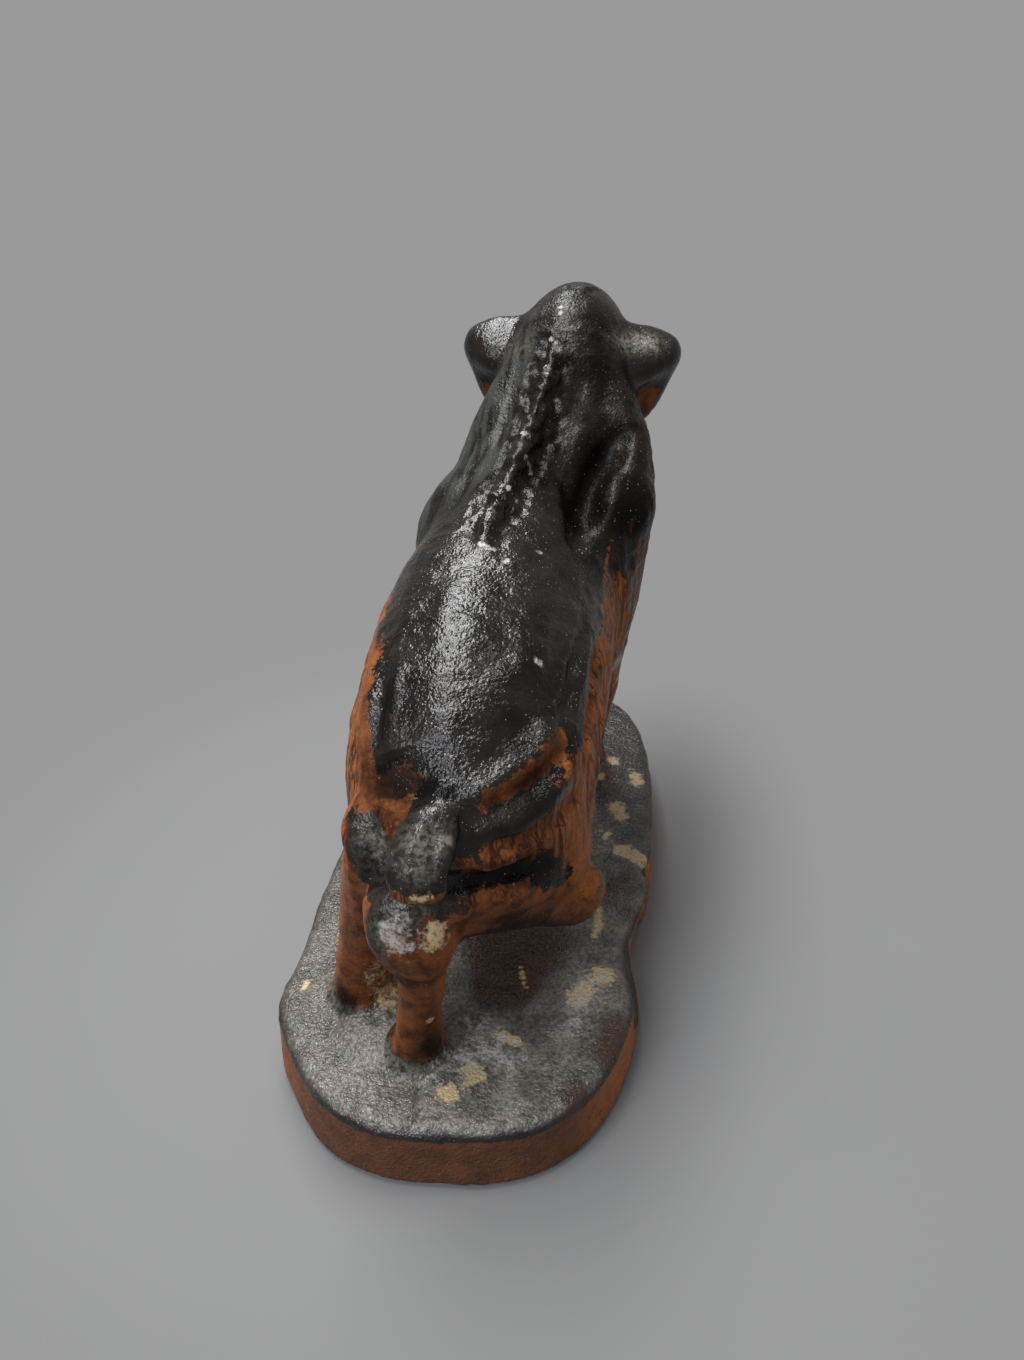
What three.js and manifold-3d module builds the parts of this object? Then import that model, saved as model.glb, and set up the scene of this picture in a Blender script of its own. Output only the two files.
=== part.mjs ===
import * as THREE from 'three';
import { mergeVertices } from 'three/addons/utils/BufferGeometryUtils.js';
import Module from 'manifold-3d';

// A wild boar at bay on an oval plinth, carved in sections that are pinned together.
// Millimetres, +Z up. The boar faces -Y, its left side is +X, and its tail hangs at +Y.

const wasm = await Module();
wasm.setup();

// Plinth
const plinthLength = 168;
const plinthLeftHalf = 42;
const plinthRightHalf = 39.4;
const plinthThickness = 15;
const plinthTailLeftSquareness = 3.1;
const plinthTailRightSquareness = 2.9;
const plinthHeadSquareness = 3.6;
const plinthEdgeRound = 2.4;
const plinthFlare = 0.8;
const plinthOutlineSteps = 104;
const plinthTracePoints = 720;

// Dents in the plinth's sides, and one swelling: side, place along Y from the plinth's middle at its
// bottom and at its top, depth and half-length
const plinthDents = [
  { side: -1, low: 18.5, high: 31.5, depth: 5.8, reach: 11.5 },
  { side: -1, low: -13.5, high: 2.2, depth: 3.2, reach: 2.6 },
  { side: 1, low: 58, high: 58, depth: -3.4, reach: 11 },
];

// The tail end falls away to the right of this place
const plinthTailMiddle = 8;
const plinthTailSkew = 0.075;

// Felt under the plinth
const feltThickness = 1;
const feltInset = 2.8;

// Seams and pins
const seamGap = 0.3;
const pinRadius = 1.5;
const pinSides = 12;
const footPinReach = 6;

// The boar's height above the plinth's top. Its sections below are drawn in equal steps, and this
// many steps make up that height.
const boarHeight = 129.2;
const heightSteps = 129.2;
const step = boarHeight / heightSteps;

// The boar's own coordinates have their origin on the plinth's top. It lies a little right of the
// plinth's middle and this far from the plinth's tail end.
const tailEndToBoar = 78.5;
const boarX = -0.6;
const boarY = plinthLength / 2 - tailEndToBoar;

// Places and half-sizes drawn below, brought to the boar's height
const sizedPlace = (place) => place.map((value) => value * step);
const sized = (rows) => rows.map(sizedPlace);
const sizedSections = (rows) => rows.map((row) => [...sizedPlace(row.slice(0, -1)), row.at(-1)]);
const sizedPin = ({ from, to }) => ({ from: sizedPlace(from), to: sizedPlace(to) });

// Rump, barrel, chest and neck, as upright sections: place along Y, middle, crest line, top,
// height of the widest part, bottom, half-width and how square the back is
const torsoSections = sizedSections([
  [-64, -10.4, -10, 127, 108, 94, 11, 2.2],
  [-56, -9.8, -8, 125, 103, 84, 14.8, 2.3],
  [-47, -8.8, -4.6, 119, 94, 68, 18.8, 2.3],
  [-38, -7.8, -3.4, 112, 84, 48, 21.8, 2.2],
  [-28, -6.4, -3.2, 106, 75, 37, 24.4, 1.95],
  [-16, -4.4, -2, 101, 71, 33.5, 24.2, 1.85],
  [-4, -2.4, -0.4, 96.4, 67, 34, 23.2, 2],
  [8, -1, 0.8, 92.4, 63, 34, 24, 2.2],
  [22, -0.4, 1.5, 88.4, 58, 32, 24.6, 2.3],
  [36, 0, 1.6, 84, 54, 29, 23.2, 2.3],
  [48, 0.2, 1.5, 77.5, 52, 30, 20.4, 2.3],
  [57, -0.4, 0.6, 70, 50, 34, 16.6, 2.2],
  [63, -0.8, -0.8, 63.5, 50, 39, 10.5, 2],
  [66, -0.8, -0.8, 58, 50, 43, 5, 2],
]);
const torsoSteps = 24;
const torsoSides = 28;
const bellySquareness = 2.2;

// Limbs are rounded runs of sections: x, y, z, half-size across and half-size along
const thighRight = sized([
  [-9.5, 36, 60, 11.6, 17],
  [-12, 39, 48, 10.8, 17],
  [-15.4, 41, 40, 8.6, 12.5],
]);
const thighLeft = sized([
  [9.5, 36, 60, 11.4, 17],
  [11.8, 38.5, 51, 10, 15.5],
  [13.8, 40, 44.5, 8, 11.5],
]);
const shankRight = sized([
  [-19.6, 40.5, 29.4, 7.2, 7.4],
  [-14, 45.6, 33.2, 7.6, 7],
  [-5.4, 54, 38, 7.2, 6.6],
  [3.2, 60.6, 41, 6.8, 7.2],
]);
const cannonRight = sized([
  [4.9, 62, 41.6, 7.4, 7.4],
  [5.4, 63, 35.4, 7, 7.2],
  [5.2, 62.2, 27, 4.7, 5.4],
  [6.6, 60.8, 14, 4.3, 4.8],
  [7.6, 59.8, 5, 4.8, 5.2],
  [7.8, 59.6, -2, 5.6, 6],
]);
const shankLeft = sized([
  [16.6, 39, 35, 6.8, 7.6],
  [16, 47, 39, 7, 7.6],
  [14, 53.6, 44.4, 6.4, 7],
]);
const cannonLeft = sized([
  [13.8, 54.2, 46, 6.4, 7],
  [16, 52.6, 37.6, 6.2, 6.6],
  [19, 49.8, 24, 5.8, 6],
  [21.6, 47.2, 11, 5.8, 6],
  [22.6, 46.2, 4, 6.2, 6.6],
  [22.8, 46, -2, 6.6, 7],
]);
const foreLegRight = sized([
  [-20.6, -23, 87, 11, 13],
  [-19.8, -22.6, 72, 9, 13],
  [-20.4, -25, 58, 7.2, 10.6],
  [-21.2, -31, 44, 6, 7.6],
  [-20.6, -37.5, 29, 5.2, 5.8],
  [-19, -43.6, 14, 4.5, 5],
  [-18.4, -46.6, 5, 5.2, 5.8],
  [-18.3, -47.2, -2, 6, 7],
]);
const foreLegLeft = sized([
  [9.6, -18, 82, 11, 13],
  [11, -18, 69, 9.6, 12.6],
  [12.2, -21.4, 56, 7.8, 10.5],
  [11.4, -27.5, 43, 6, 7.6],
  [9.8, -34, 29, 5.4, 5.8],
  [8.6, -40.6, 14, 4.6, 5],
  [8.4, -44, 5, 5.4, 6],
  [8.4, -44.6, -2, 6.2, 7.2],
]);
const headSections = sized([
  [-8, -36, 91.5, 16.8, 16],
  [-9, -48, 102, 15.8, 15.8],
  [-10.2, -57, 110.4, 14.4, 19.4],
  [-11, -64.5, 109.4, 12.8, 18.2],
  [-11.8, -70.5, 102, 10.2, 13.6],
  [-12.4, -75.5, 96, 7.8, 10],
  [-12.8, -80, 90.6, 6.2, 7.4],
]);
const crestRun = sized([
  [1.4, 24, 86.2, 2.4, 3],
  [0.8, 8, 91.2, 3, 4],
  [-0.5, -5, 95.6, 3.2, 4.4],
  [-2.2, -17, 100.4, 3.2, 4.4],
  [-3.3, -30, 105.8, 3.2, 4.4],
  [-3.7, -42, 112.4, 3.2, 4.4],
  [-6, -51.5, 119.8, 3.2, 4.4],
  [-9, -59, 126, 3, 3],
]);
const earLeft = sized([
  [-2.4, -57.8, 109.5, 12, 5.2],
  [3, -58, 109.5, 12.4, 5.2],
  [8, -58, 109.8, 11.6, 4.8],
  [11, -58, 111.8, 8.4, 4.2],
  [13.2, -57.8, 114.2, 4.6, 3],
]);
const earRight = sized([
  [-17.4, -58.6, 109.2, 12, 5.2],
  [-23, -59.2, 108.2, 12.4, 5.2],
  [-27.4, -59.8, 108.6, 11, 4.8],
  [-30.6, -60.2, 111, 7.6, 4],
  [-33, -60.4, 113.4, 4, 3],
]);
const tailSections = sized([
  [0, 56.5, 62.4, 3.2, 3],
  [0.8, 62, 63.4, 3.8, 2.8],
  [2, 66.2, 61.2, 5, 2.5],
  [3, 69.2, 57, 5.3, 2.4],
  [3, 70.8, 53.4, 4.8, 2.3],
]);

// How finely a run is drawn
const fine = { sides: 16, steps: 2 };
const small = { sides: 8, steps: 1 };
const endDomeSteps = 2;

// Neck seam: a point on it and the way it faces, towards the head
const neckSeamPoint = new THREE.Vector3(...sizedPlace([-8, -47, 112]));
const neckSeamFacing = new THREE.Vector3(0, -0.85, 0.53).normalize();

// Eyes and tusks
const eyeRadius = 1.9;
const eyePlaces = { left: sizedPlace([-1.6, -69, 108.6]), right: sizedPlace([-21.4, -69, 108.6]) };
const tuskMiddleX = -12.4 * step;
const tuskHalf = sized([
  [4.6, -74, 90.8, 1.7, 1.7],
  [7.8, -76, 92, 1.6, 1.6],
  [9.6, -77.4, 95, 1.2, 1.2],
  [9.4, -77.8, 98.4, 0.5, 0.5],
]);

// Pins from the legs and the neck into the torso: one end in each
const legPins = {
  hind_left: sizedPin({ from: [15.6, 47, 38.6], to: [12.6, 42, 53] }),
  hind_right: sizedPin({ from: [-13.6, 46.4, 31.5], to: [-12.6, 41.5, 46] }),
  fore_left: sizedPin({ from: [9, -18.5, 66], to: [-5, -18.5, 66] }),
  fore_right: sizedPin({ from: [-19.5, -22, 77], to: [-5.5, -22, 77] }),
};
const neckPin = sizedPin({ from: [-7.6, -37, 98], to: [-9.4, -56, 110] });

// Rough ground left between the hind feet: middle, radius and height
const moundPlace = sizedPlace([15.4, 58]);
const moundRadius = 9;
const moundHeight = 4;

const plinthTop = feltThickness + plinthThickness;
const farAway = 400;
const fromWorld = new THREE.Vector3(boarX, boarY, plinthTop);
const sideways = new THREE.Vector3(1, 0, 0);
const upright = new THREE.Vector3(0, 0, 1);

const finishes = {
  stone: { color: 0x231b17, roughness: 0.35, metalness: 0 },
  horn: { color: 0x3a2c22, roughness: 0.35, metalness: 0 },
  bead: { color: 0x0b0908, roughness: 0.15, metalness: 0 },
  steel: { color: 0x8d8f92, roughness: 0.4, metalness: 1 },
  felt: { color: 0x1c1d1b, roughness: 0.95, metalness: 0 },
};

// A closed skin over rings of equal count, with a fan at each end
function loft(rings) {
  const sides = rings[0].length;
  const points = rings.flat();
  const faces = [];
  for (let r = 0; r < rings.length - 1; r += 1) {
    for (let s = 0; s < sides; s += 1) {
      const a = r * sides + s;
      const b = r * sides + ((s + 1) % sides);
      faces.push(a, b, a + sides, b, b + sides, a + sides);
    }
  }
  const last = (rings.length - 1) * sides;
  const startHub = points.push(middleOf(rings[0])) - 1;
  const endHub = points.push(middleOf(rings.at(-1))) - 1;
  for (let s = 0; s < sides; s += 1) {
    const next = (s + 1) % sides;
    faces.push(startHub, next, s);
    faces.push(endHub, last + s, last + next);
  }
  const geometry = new THREE.BufferGeometry().setFromPoints(points);
  geometry.setIndex(faces);
  return geometry;
}

function middleOf(ring) {
  const sum = new THREE.Vector3();
  ring.forEach((point) => sum.add(point));
  return sum.divideScalar(ring.length);
}

// A solid that can be cut and joined. Skins that came out inside out are turned round.
function solid(geometry) {
  const bare = geometry.clone();
  bare.deleteAttribute('normal');
  bare.deleteAttribute('uv');
  const merged = mergeVertices(bare, 1e-4);
  const vertProperties = new Float32Array(merged.attributes.position.array);
  const triVerts = new Uint32Array(merged.index.array);
  if (signedVolume(vertProperties, triVerts) < 0) {
    for (let t = 0; t < triVerts.length; t += 3) {
      const kept = triVerts[t];
      triVerts[t] = triVerts[t + 1];
      triVerts[t + 1] = kept;
    }
  }
  return new wasm.Manifold(new wasm.Mesh({ numProp: 3, vertProperties, triVerts }));
}

function signedVolume(positions, triangles) {
  const corner = (i) => new THREE.Vector3().fromArray(positions, triangles[i] * 3);
  let volume = 0;
  for (let t = 0; t < triangles.length; t += 3) {
    volume += corner(t).dot(corner(t + 1).cross(corner(t + 2))) / 6;
  }
  return volume;
}

function piece(name, body, finish) {
  const mesh = body.getMesh();
  const geometry = new THREE.BufferGeometry();
  geometry.setAttribute('position', new THREE.BufferAttribute(new Float32Array(mesh.vertProperties), 3));
  geometry.setIndex(new THREE.BufferAttribute(new Uint32Array(mesh.triVerts), 1));
  geometry.computeVertexNormals();
  const result = new THREE.Mesh(geometry, new THREE.MeshStandardMaterial(finishes[finish]));
  result.name = name;
  return result;
}

// A rounded run through the stations, domed at both ends. swell grows it all round. Its sections lie
// across the path, or all across one facing where that is given.
function limb(stations, swell = 0, { sides, steps: stepsEach } = fine, reference = sideways, facing = null) {
  const path = new THREE.CatmullRomCurve3(stations.map(([x, y, z]) => new THREE.Vector3(x, y, z)));
  const steps = (stations.length - 1) * stepsEach;
  const rings = [];
  const section = (t, offset, shrink) => {
    const place = Math.min(Math.floor(t * (stations.length - 1)), stations.length - 2);
    const share = t * (stations.length - 1) - place;
    const across = THREE.MathUtils.lerp(stations[place][3], stations[place + 1][3], share) + swell;
    const along = THREE.MathUtils.lerp(stations[place][4], stations[place + 1][4], share) + swell;
    const tangent = facing ? facing.clone() : path.getTangent(t);
    const side = reference.clone().addScaledVector(tangent, -reference.dot(tangent)).normalize();
    const up = new THREE.Vector3().crossVectors(tangent, side);
    const centre = path.getPoint(t).addScaledVector(tangent, offset * Math.min(across, along));
    return Array.from({ length: sides }, (_, i) => {
      const angle = (i / sides) * 2 * Math.PI;
      return centre.clone()
        .addScaledVector(side, across * shrink * Math.cos(angle))
        .addScaledVector(up, along * shrink * Math.sin(angle));
    });
  };
  const domeAngle = (k) => (k / (endDomeSteps + 1)) * (Math.PI / 2);
  for (let k = endDomeSteps; k > 0; k -= 1) {
    rings.push(section(0, -Math.sin(domeAngle(k)), Math.cos(domeAngle(k))));
  }
  for (let i = 0; i <= steps; i += 1) {
    rings.push(section(i / steps, 0, 1));
  }
  for (let k = 1; k <= endDomeSteps; k += 1) {
    rings.push(section(1, Math.sin(domeAngle(k)), Math.cos(domeAngle(k))));
  }
  return solid(loft(rings));
}

function torsoBody() {
  const places = torsoSections.map(([along]) => along);
  const shape = new THREE.CubicInterpolant(places, torsoSections.flat(), torsoSections[0].length);
  const rings = [];
  for (let i = 0; i <= torsoSteps; i += 1) {
    const wanted = THREE.MathUtils.lerp(places[0], places.at(-1), i / torsoSteps);
    const [y, middle, ridge, top, widest, bottom, half, backSquareness] = shape.evaluate(wanted);
    rings.push(Array.from({ length: torsoSides }, (_, s) => {
      const angle = (s / torsoSides) * 2 * Math.PI;
      const c = Math.cos(angle);
      const up = Math.sin(angle);
      const exponent = up > 0 ? backSquareness : bellySquareness;
      const height = up > 0 ? top - widest : widest - bottom;
      const lean = up > 0 ? (ridge - middle) * up * up : 0;
      const x = middle + lean + half * Math.sign(c) * Math.abs(c) ** (2 / exponent);
      return new THREE.Vector3(x, y, widest + height * Math.sign(up) * Math.abs(up) ** (2 / exponent));
    }));
  }
  return solid(loft(rings));
}

// Everything on the far side of a plane
function beyond(point, facing) {
  const block = new THREE.BoxGeometry(farAway, farAway, farAway);
  block.translate(0, 0, farAway / 2);
  const turn = new THREE.Quaternion().setFromUnitVectors(new THREE.Vector3(0, 0, 1), facing);
  block.applyQuaternion(turn);
  block.translate(point.x, point.y, point.z);
  return solid(block);
}

function pin({ from, to }, clearance = 0) {
  const start = new THREE.Vector3(...from);
  const end = new THREE.Vector3(...to);
  const way = end.clone().sub(start);
  const length = way.length() + 2 * clearance;
  const rod = new THREE.CylinderGeometry(pinRadius + clearance, pinRadius + clearance, length, pinSides);
  rod.applyQuaternion(new THREE.Quaternion().setFromUnitVectors(new THREE.Vector3(0, 1, 0), way.normalize()));
  const middle = start.add(end).multiplyScalar(0.5);
  rod.translate(middle.x, middle.y, middle.z);
  return solid(rod);
}

function footPin(leg) {
  const [x, y] = leg.at(-1);
  return { from: [x, y, -footPinReach], to: [x, y, footPinReach] };
}

function outline(inset, rise = 0) {
  const half = plinthLength / 2;
  const trace = Array.from({ length: plinthTracePoints + 1 }, (_, i) => {
    const angle = (i / plinthTracePoints) * 2 * Math.PI;
    const c = Math.cos(angle);
    const s = Math.sin(angle);
    const tailSquareness = c > 0 ? plinthTailLeftSquareness : plinthTailRightSquareness;
    const exponent = s > 0 ? tailSquareness : plinthHeadSquareness;
    const side = c > 0 ? plinthLeftHalf : plinthRightHalf;
    let y = (half - inset) * Math.sign(s) * Math.abs(s) ** (2 / exponent);
    let x = (side - inset) * Math.sign(c) * Math.abs(c) ** (2 / exponent);
    plinthDents.filter((dent) => dent.side * c > 0).forEach((dent) => {
      const along = THREE.MathUtils.lerp(dent.low, dent.high, rise);
      x -= dent.side * dent.depth * Math.exp(-(((y - along) / dent.reach) ** 2)) * Math.abs(c) ** 0.5;
    });
    if (s > 0) {
      y -= plinthTailSkew * Math.max(plinthTailMiddle - x, 0) * s ** 4;
    }
    return new THREE.Vector2(x, y);
  });
  const curve = new THREE.SplineCurve(trace);
  curve.arcLengthDivisions = plinthTracePoints;
  return curve.getSpacedPoints(plinthOutlineSteps).slice(0, -1);
}

function slab(levels) {
  const rings = levels.map(([inset, z]) => {
    const rise = THREE.MathUtils.clamp((z - feltThickness) / plinthThickness, 0, 1);
    return outline(inset, rise).map(({ x, y }) => new THREE.Vector3(x, y, z));
  });
  return solid(loft(rings));
}

function plinthBody() {
  const round = plinthEdgeRound;
  const levels = [
    [plinthFlare * 0.6, feltThickness],
    [0, feltThickness + 1],
    [plinthFlare, plinthTop - round],
    [plinthFlare + round * 0.13, plinthTop - round * 0.5],
    [plinthFlare + round * 0.5, plinthTop - round * 0.13],
    [plinthFlare + round, plinthTop],
  ];
  const mound = new THREE.SphereGeometry(moundRadius, 20, 12);
  mound.scale(1, 1, moundHeight / moundRadius);
  mound.translate(moundPlace[0] + boarX, moundPlace[1] + boarY, plinthTop);
  return slab(levels).add(solid(mound));
}

const under = beyond(new THREE.Vector3(0, 0, seamGap), new THREE.Vector3(0, 0, -1));
const legs = {
  hind_left: [shankLeft, cannonLeft],
  hind_right: [shankRight, cannonRight],
  fore_left: [foreLegLeft],
  fore_right: [foreLegRight],
};
const legNames = Object.keys(legs);
const join = (solids) => solids.reduce((all, next) => all.add(next));
const cut = (body, cutters) => cutters.reduce((left, next) => left.subtract(next), body);
const legShape = (name, swell) => join(legs[name].map((run) => limb(run, swell)));

const footPins = legNames.map((name) => footPin(legs[name].at(-1)));
const legPinHoles = legNames.map((name) => pin(legPins[name], seamGap));
const footPinHoles = footPins.map((one) => pin(one, seamGap));

const tail = limb(tailSections);
const tailSpace = limb(tailSections, seamGap);
const ears = {
  ear_left: [0, seamGap].map((swell) => limb(earLeft, swell, fine, upright, sideways)),
  ear_right: [0, seamGap].map((swell) => limb(earRight, swell, fine, upright, sideways.clone().negate())),
};

const beforeSeam = neckSeamPoint.clone().addScaledVector(neckSeamFacing, -seamGap / 2);
const afterSeam = neckSeamPoint.clone().addScaledVector(neckSeamFacing, seamGap / 2);
const crest = limb(crestRun);
const torso = cut(join([torsoBody(), limb(thighRight), limb(thighLeft), crest]), [
  beyond(beforeSeam, neckSeamFacing),
  ...legNames.map((name) => legShape(name, seamGap)),
  ...legPinHoles,
  pin(neckPin, seamGap),
  tailSpace,
]);

const tuskRuns = {
  tusk_left: tuskHalf.map(([x, ...rest]) => [tuskMiddleX + x, ...rest]),
  tusk_right: tuskHalf.map(([x, ...rest]) => [tuskMiddleX - x, ...rest]),
};
function eye(side, swell) {
  const bead = new THREE.SphereGeometry(eyeRadius + swell, 12, 8);
  bead.translate(...eyePlaces[side]);
  return solid(bead);
}
const head = cut(limb(headSections).add(crest), [
  beyond(afterSeam, neckSeamFacing.clone().negate()),
  pin(neckPin, seamGap),
  ears.ear_left[1],
  ears.ear_right[1],
  eye('left', seamGap),
  eye('right', seamGap),
  limb(tuskRuns.tusk_left, seamGap, small),
  limb(tuskRuns.tusk_right, seamGap, small),
]);

const boar = new THREE.Group();
boar.position.copy(fromWorld);
boar.add(piece('torso', torso, 'stone'));
boar.add(piece('head', head, 'stone'));
Object.entries(ears).forEach(([name, [shape]]) => boar.add(piece(name, shape, 'stone')));
boar.add(piece('eye_left', eye('left', 0), 'bead'));
boar.add(piece('eye_right', eye('right', 0), 'bead'));
Object.entries(tuskRuns).forEach(([name, run]) => boar.add(piece(name, limb(run, 0, small), 'horn')));
boar.add(piece('tail', tail, 'stone'));
legNames.forEach((name, i) => {
  const [end, side] = name.split('_');
  const neighbours = name === 'hind_right' ? [legShape('hind_left', seamGap)] : [];
  const shape = cut(legShape(name, 0), [under, tailSpace, legPinHoles[i], footPinHoles[i], ...neighbours]);
  boar.add(piece(`${end}_leg_${side}`, shape, 'stone'));
  boar.add(piece(`foot_dowel_${name}`, pin(footPins[i]), 'steel'));
  boar.add(piece(`leg_dowel_${name}`, pin(legPins[name]), 'steel'));
});
boar.add(piece('neck_dowel', pin(neckPin), 'steel'));

const belowGround = beyond(new THREE.Vector3(), upright.clone().negate());
const legSpaces = legNames.map((name) => legShape(name, seamGap));
const plinthCuts = legSpaces.map((space) => space.subtract(belowGround));
const plinth = cut(
  plinthBody(),
  [...plinthCuts, ...footPinHoles].map((cutter) => cutter.translate(fromWorld.toArray())),
);
const felt = slab([
  [plinthFlare + feltInset, 0],
  [plinthFlare + feltInset, feltThickness],
]);

const group = new THREE.Group();
group.add(piece('plinth', plinth, 'stone'));
group.add(piece('felt_pad', felt, 'felt'));
group.add(boar);

// The origin is the middle of the footprint, on the surface that the felt rests on
const extent = new THREE.Box3().setFromObject(group);
const footprint = extent.getCenter(new THREE.Vector3());
group.position.set(-footprint.x, -footprint.y, -extent.min.z);

export default group;
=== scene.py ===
import math

import bmesh
import bpy
import numpy as np
from mathutils import Matrix, Vector
from mathutils.bvhtree import BVHTree


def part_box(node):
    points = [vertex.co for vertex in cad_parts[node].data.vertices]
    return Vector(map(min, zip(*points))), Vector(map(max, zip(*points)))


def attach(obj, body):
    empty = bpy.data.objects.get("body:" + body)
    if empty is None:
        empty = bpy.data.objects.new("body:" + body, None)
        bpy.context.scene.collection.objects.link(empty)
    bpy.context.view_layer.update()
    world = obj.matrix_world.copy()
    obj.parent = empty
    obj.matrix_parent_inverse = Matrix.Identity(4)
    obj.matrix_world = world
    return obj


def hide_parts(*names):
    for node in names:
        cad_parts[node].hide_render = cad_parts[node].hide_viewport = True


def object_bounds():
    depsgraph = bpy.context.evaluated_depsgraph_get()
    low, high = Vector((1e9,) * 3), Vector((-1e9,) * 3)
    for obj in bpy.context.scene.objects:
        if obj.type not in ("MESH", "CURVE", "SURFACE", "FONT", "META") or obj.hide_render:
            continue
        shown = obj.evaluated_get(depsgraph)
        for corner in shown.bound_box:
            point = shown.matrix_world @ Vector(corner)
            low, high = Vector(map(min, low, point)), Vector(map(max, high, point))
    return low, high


# A glossy, nearly black boar at bay on a thick oval plinth, seen from behind and above.
# Shapes are worked out in millimetres and written to the meshes in metres.

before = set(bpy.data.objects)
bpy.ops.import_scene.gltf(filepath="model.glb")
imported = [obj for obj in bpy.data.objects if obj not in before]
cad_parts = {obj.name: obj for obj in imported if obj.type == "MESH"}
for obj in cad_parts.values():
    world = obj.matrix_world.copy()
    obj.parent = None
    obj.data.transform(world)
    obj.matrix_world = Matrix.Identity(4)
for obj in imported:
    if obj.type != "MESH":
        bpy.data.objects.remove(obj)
cad_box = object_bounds()

MM = 0.001

# The boar's own origin lies on the plinth's top. This is its place in the frame.
BOAR = np.array([-1.93, 5.58, 16.0])

# The width of one cell of clay, and how far past a shape the clay is worked out
CELL = 0.62
MARGIN = 4.0

# Rump, barrel, chest and neck, as upright sections: place along Y, middle, crest line, top,
# height of the widest part, bottom, half-width and how square the back is
TORSO_SECTIONS = [
    (-64, -10.4, -10, 127, 108, 94, 11, 2.2),
    (-56, -9.8, -8, 125, 103, 84, 14.8, 2.3),
    (-47, -9.6, -5.6, 119, 94, 68, 18, 2.3),
    (-38, -7.8, -3.4, 112, 84, 48, 21.8, 2.2),
    (-28, -6.4, -3.2, 106, 75, 37, 24.4, 1.95),
    (-16, -4.4, -2, 101, 71, 33.5, 24.2, 1.85),
    (-4, -2.4, -0.4, 96.4, 67, 34, 23.2, 2),
    (8, -1, 0.8, 92.4, 63, 34, 24, 2.2),
    (22, -0.4, 1.5, 88.4, 58, 32, 24.6, 2.3),
    (36, 0, 1.6, 84, 54, 29, 23.2, 2.3),
    (48, 0.2, 1.5, 77.5, 52, 30, 20.4, 2.3),
    (57, -0.4, 0.6, 70, 50, 34, 16.6, 2.2),
    (63, -0.8, -0.8, 63.5, 50, 39, 10.5, 2),
    (66, -0.8, -0.8, 58, 50, 43, 5, 2),
]
BELLY_SQUARENESS = 2.2

# Runs of rounded sections: x, y, z, half-size across and half-size along
THIGH_RIGHT = [
    (-9.5, 36, 60, 11.6, 17),
    (-12, 39, 48, 10.8, 17),
    (-15.4, 41, 40, 8.6, 12.5),
]
THIGH_LEFT = [
    (9.5, 36, 60, 11.4, 17),
    (11.8, 38.5, 51, 10, 15.5),
    (13.8, 40, 44.5, 8, 11.5),
]
SHANK_RIGHT = [
    (-19.6, 40.5, 29.4, 7.2, 7.4),
    (-14, 45.6, 33.2, 7.6, 7),
    (-5.4, 54, 38, 7.2, 6.6),
    (3.2, 60.6, 41, 6.8, 7.2),
]
CANNON_RIGHT = [
    (4.9, 62, 41.6, 7.4, 7.4),
    (5.4, 63, 35.4, 7, 7.2),
    (5.2, 62.2, 27, 4.7, 5.4),
    (6.6, 60.8, 14, 4.3, 4.8),
    (7.6, 59.8, 5, 4.8, 5.2),
    (7.8, 59.6, -2, 5.6, 6),
]
SHANK_LEFT = [
    (16.6, 39, 35, 6.8, 7.6),
    (16, 47, 39, 7, 7.6),
    (14, 53.6, 44.4, 6.4, 7),
]
CANNON_LEFT = [
    (13.8, 54.2, 46, 6.4, 7),
    (16, 52.6, 37.6, 6.2, 6.6),
    (19, 49.8, 24, 5.8, 6),
    (21.6, 47.2, 11, 5.8, 6),
    (22.6, 46.2, 4, 6.2, 6.6),
    (22.8, 46, -2, 6.6, 7),
]
FORELEG_RIGHT = [
    (-20.4, -23, 87, 11, 13),
    (-18.6, -22.6, 72, 8.4, 13),
    (-19.4, -25, 58, 6.8, 10.6),
    (-21, -31, 44, 6, 7.6),
    (-20.6, -37.5, 29, 5.2, 5.8),
    (-19, -43.6, 14, 4.5, 5),
    (-18.4, -46.6, 5, 5.2, 5.8),
    (-18.3, -47.2, -2, 6, 7),
]
FORELEG_LEFT = [
    (9.6, -18, 82, 11, 13),
    (11, -18, 69, 9.6, 12.6),
    (12.2, -21.4, 56, 7.8, 10.5),
    (11.4, -27.5, 43, 6, 7.6),
    (9.8, -34, 29, 5.4, 5.8),
    (8.6, -40.6, 14, 4.6, 5),
    (8.4, -44, 5, 5.4, 6),
    (8.4, -44.6, -2, 6.2, 7.2),
]
HEAD_SECTIONS = [
    (-8, -36, 91.5, 16.8, 16),
    (-9.8, -48, 102, 15, 15.8),
    (-10.2, -57, 110, 14.4, 18.4),
    (-11, -64.5, 109.4, 12.8, 18.2),
    (-11.8, -70.5, 102, 10.2, 13.6),
    (-12.4, -75.5, 96, 7.8, 10),
    (-12.8, -80, 90.6, 6.2, 7.4),
]
CREST_RUN = [
    (1.6, 16, 86.2, 2, 2.2),
    (0.6, 6, 91.2, 2.4, 3.8),
    (-1.4, -5, 96, 2.4, 4.6),
    (-3.8, -17, 101.2, 2.3, 5),
    (-5.6, -30, 106.8, 2.3, 5),
    (-6.6, -42, 113.2, 2.3, 5),
    (-8.8, -51.5, 119.8, 2.2, 4.4),
    (-11, -58, 124.4, 2, 3),
]
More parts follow.
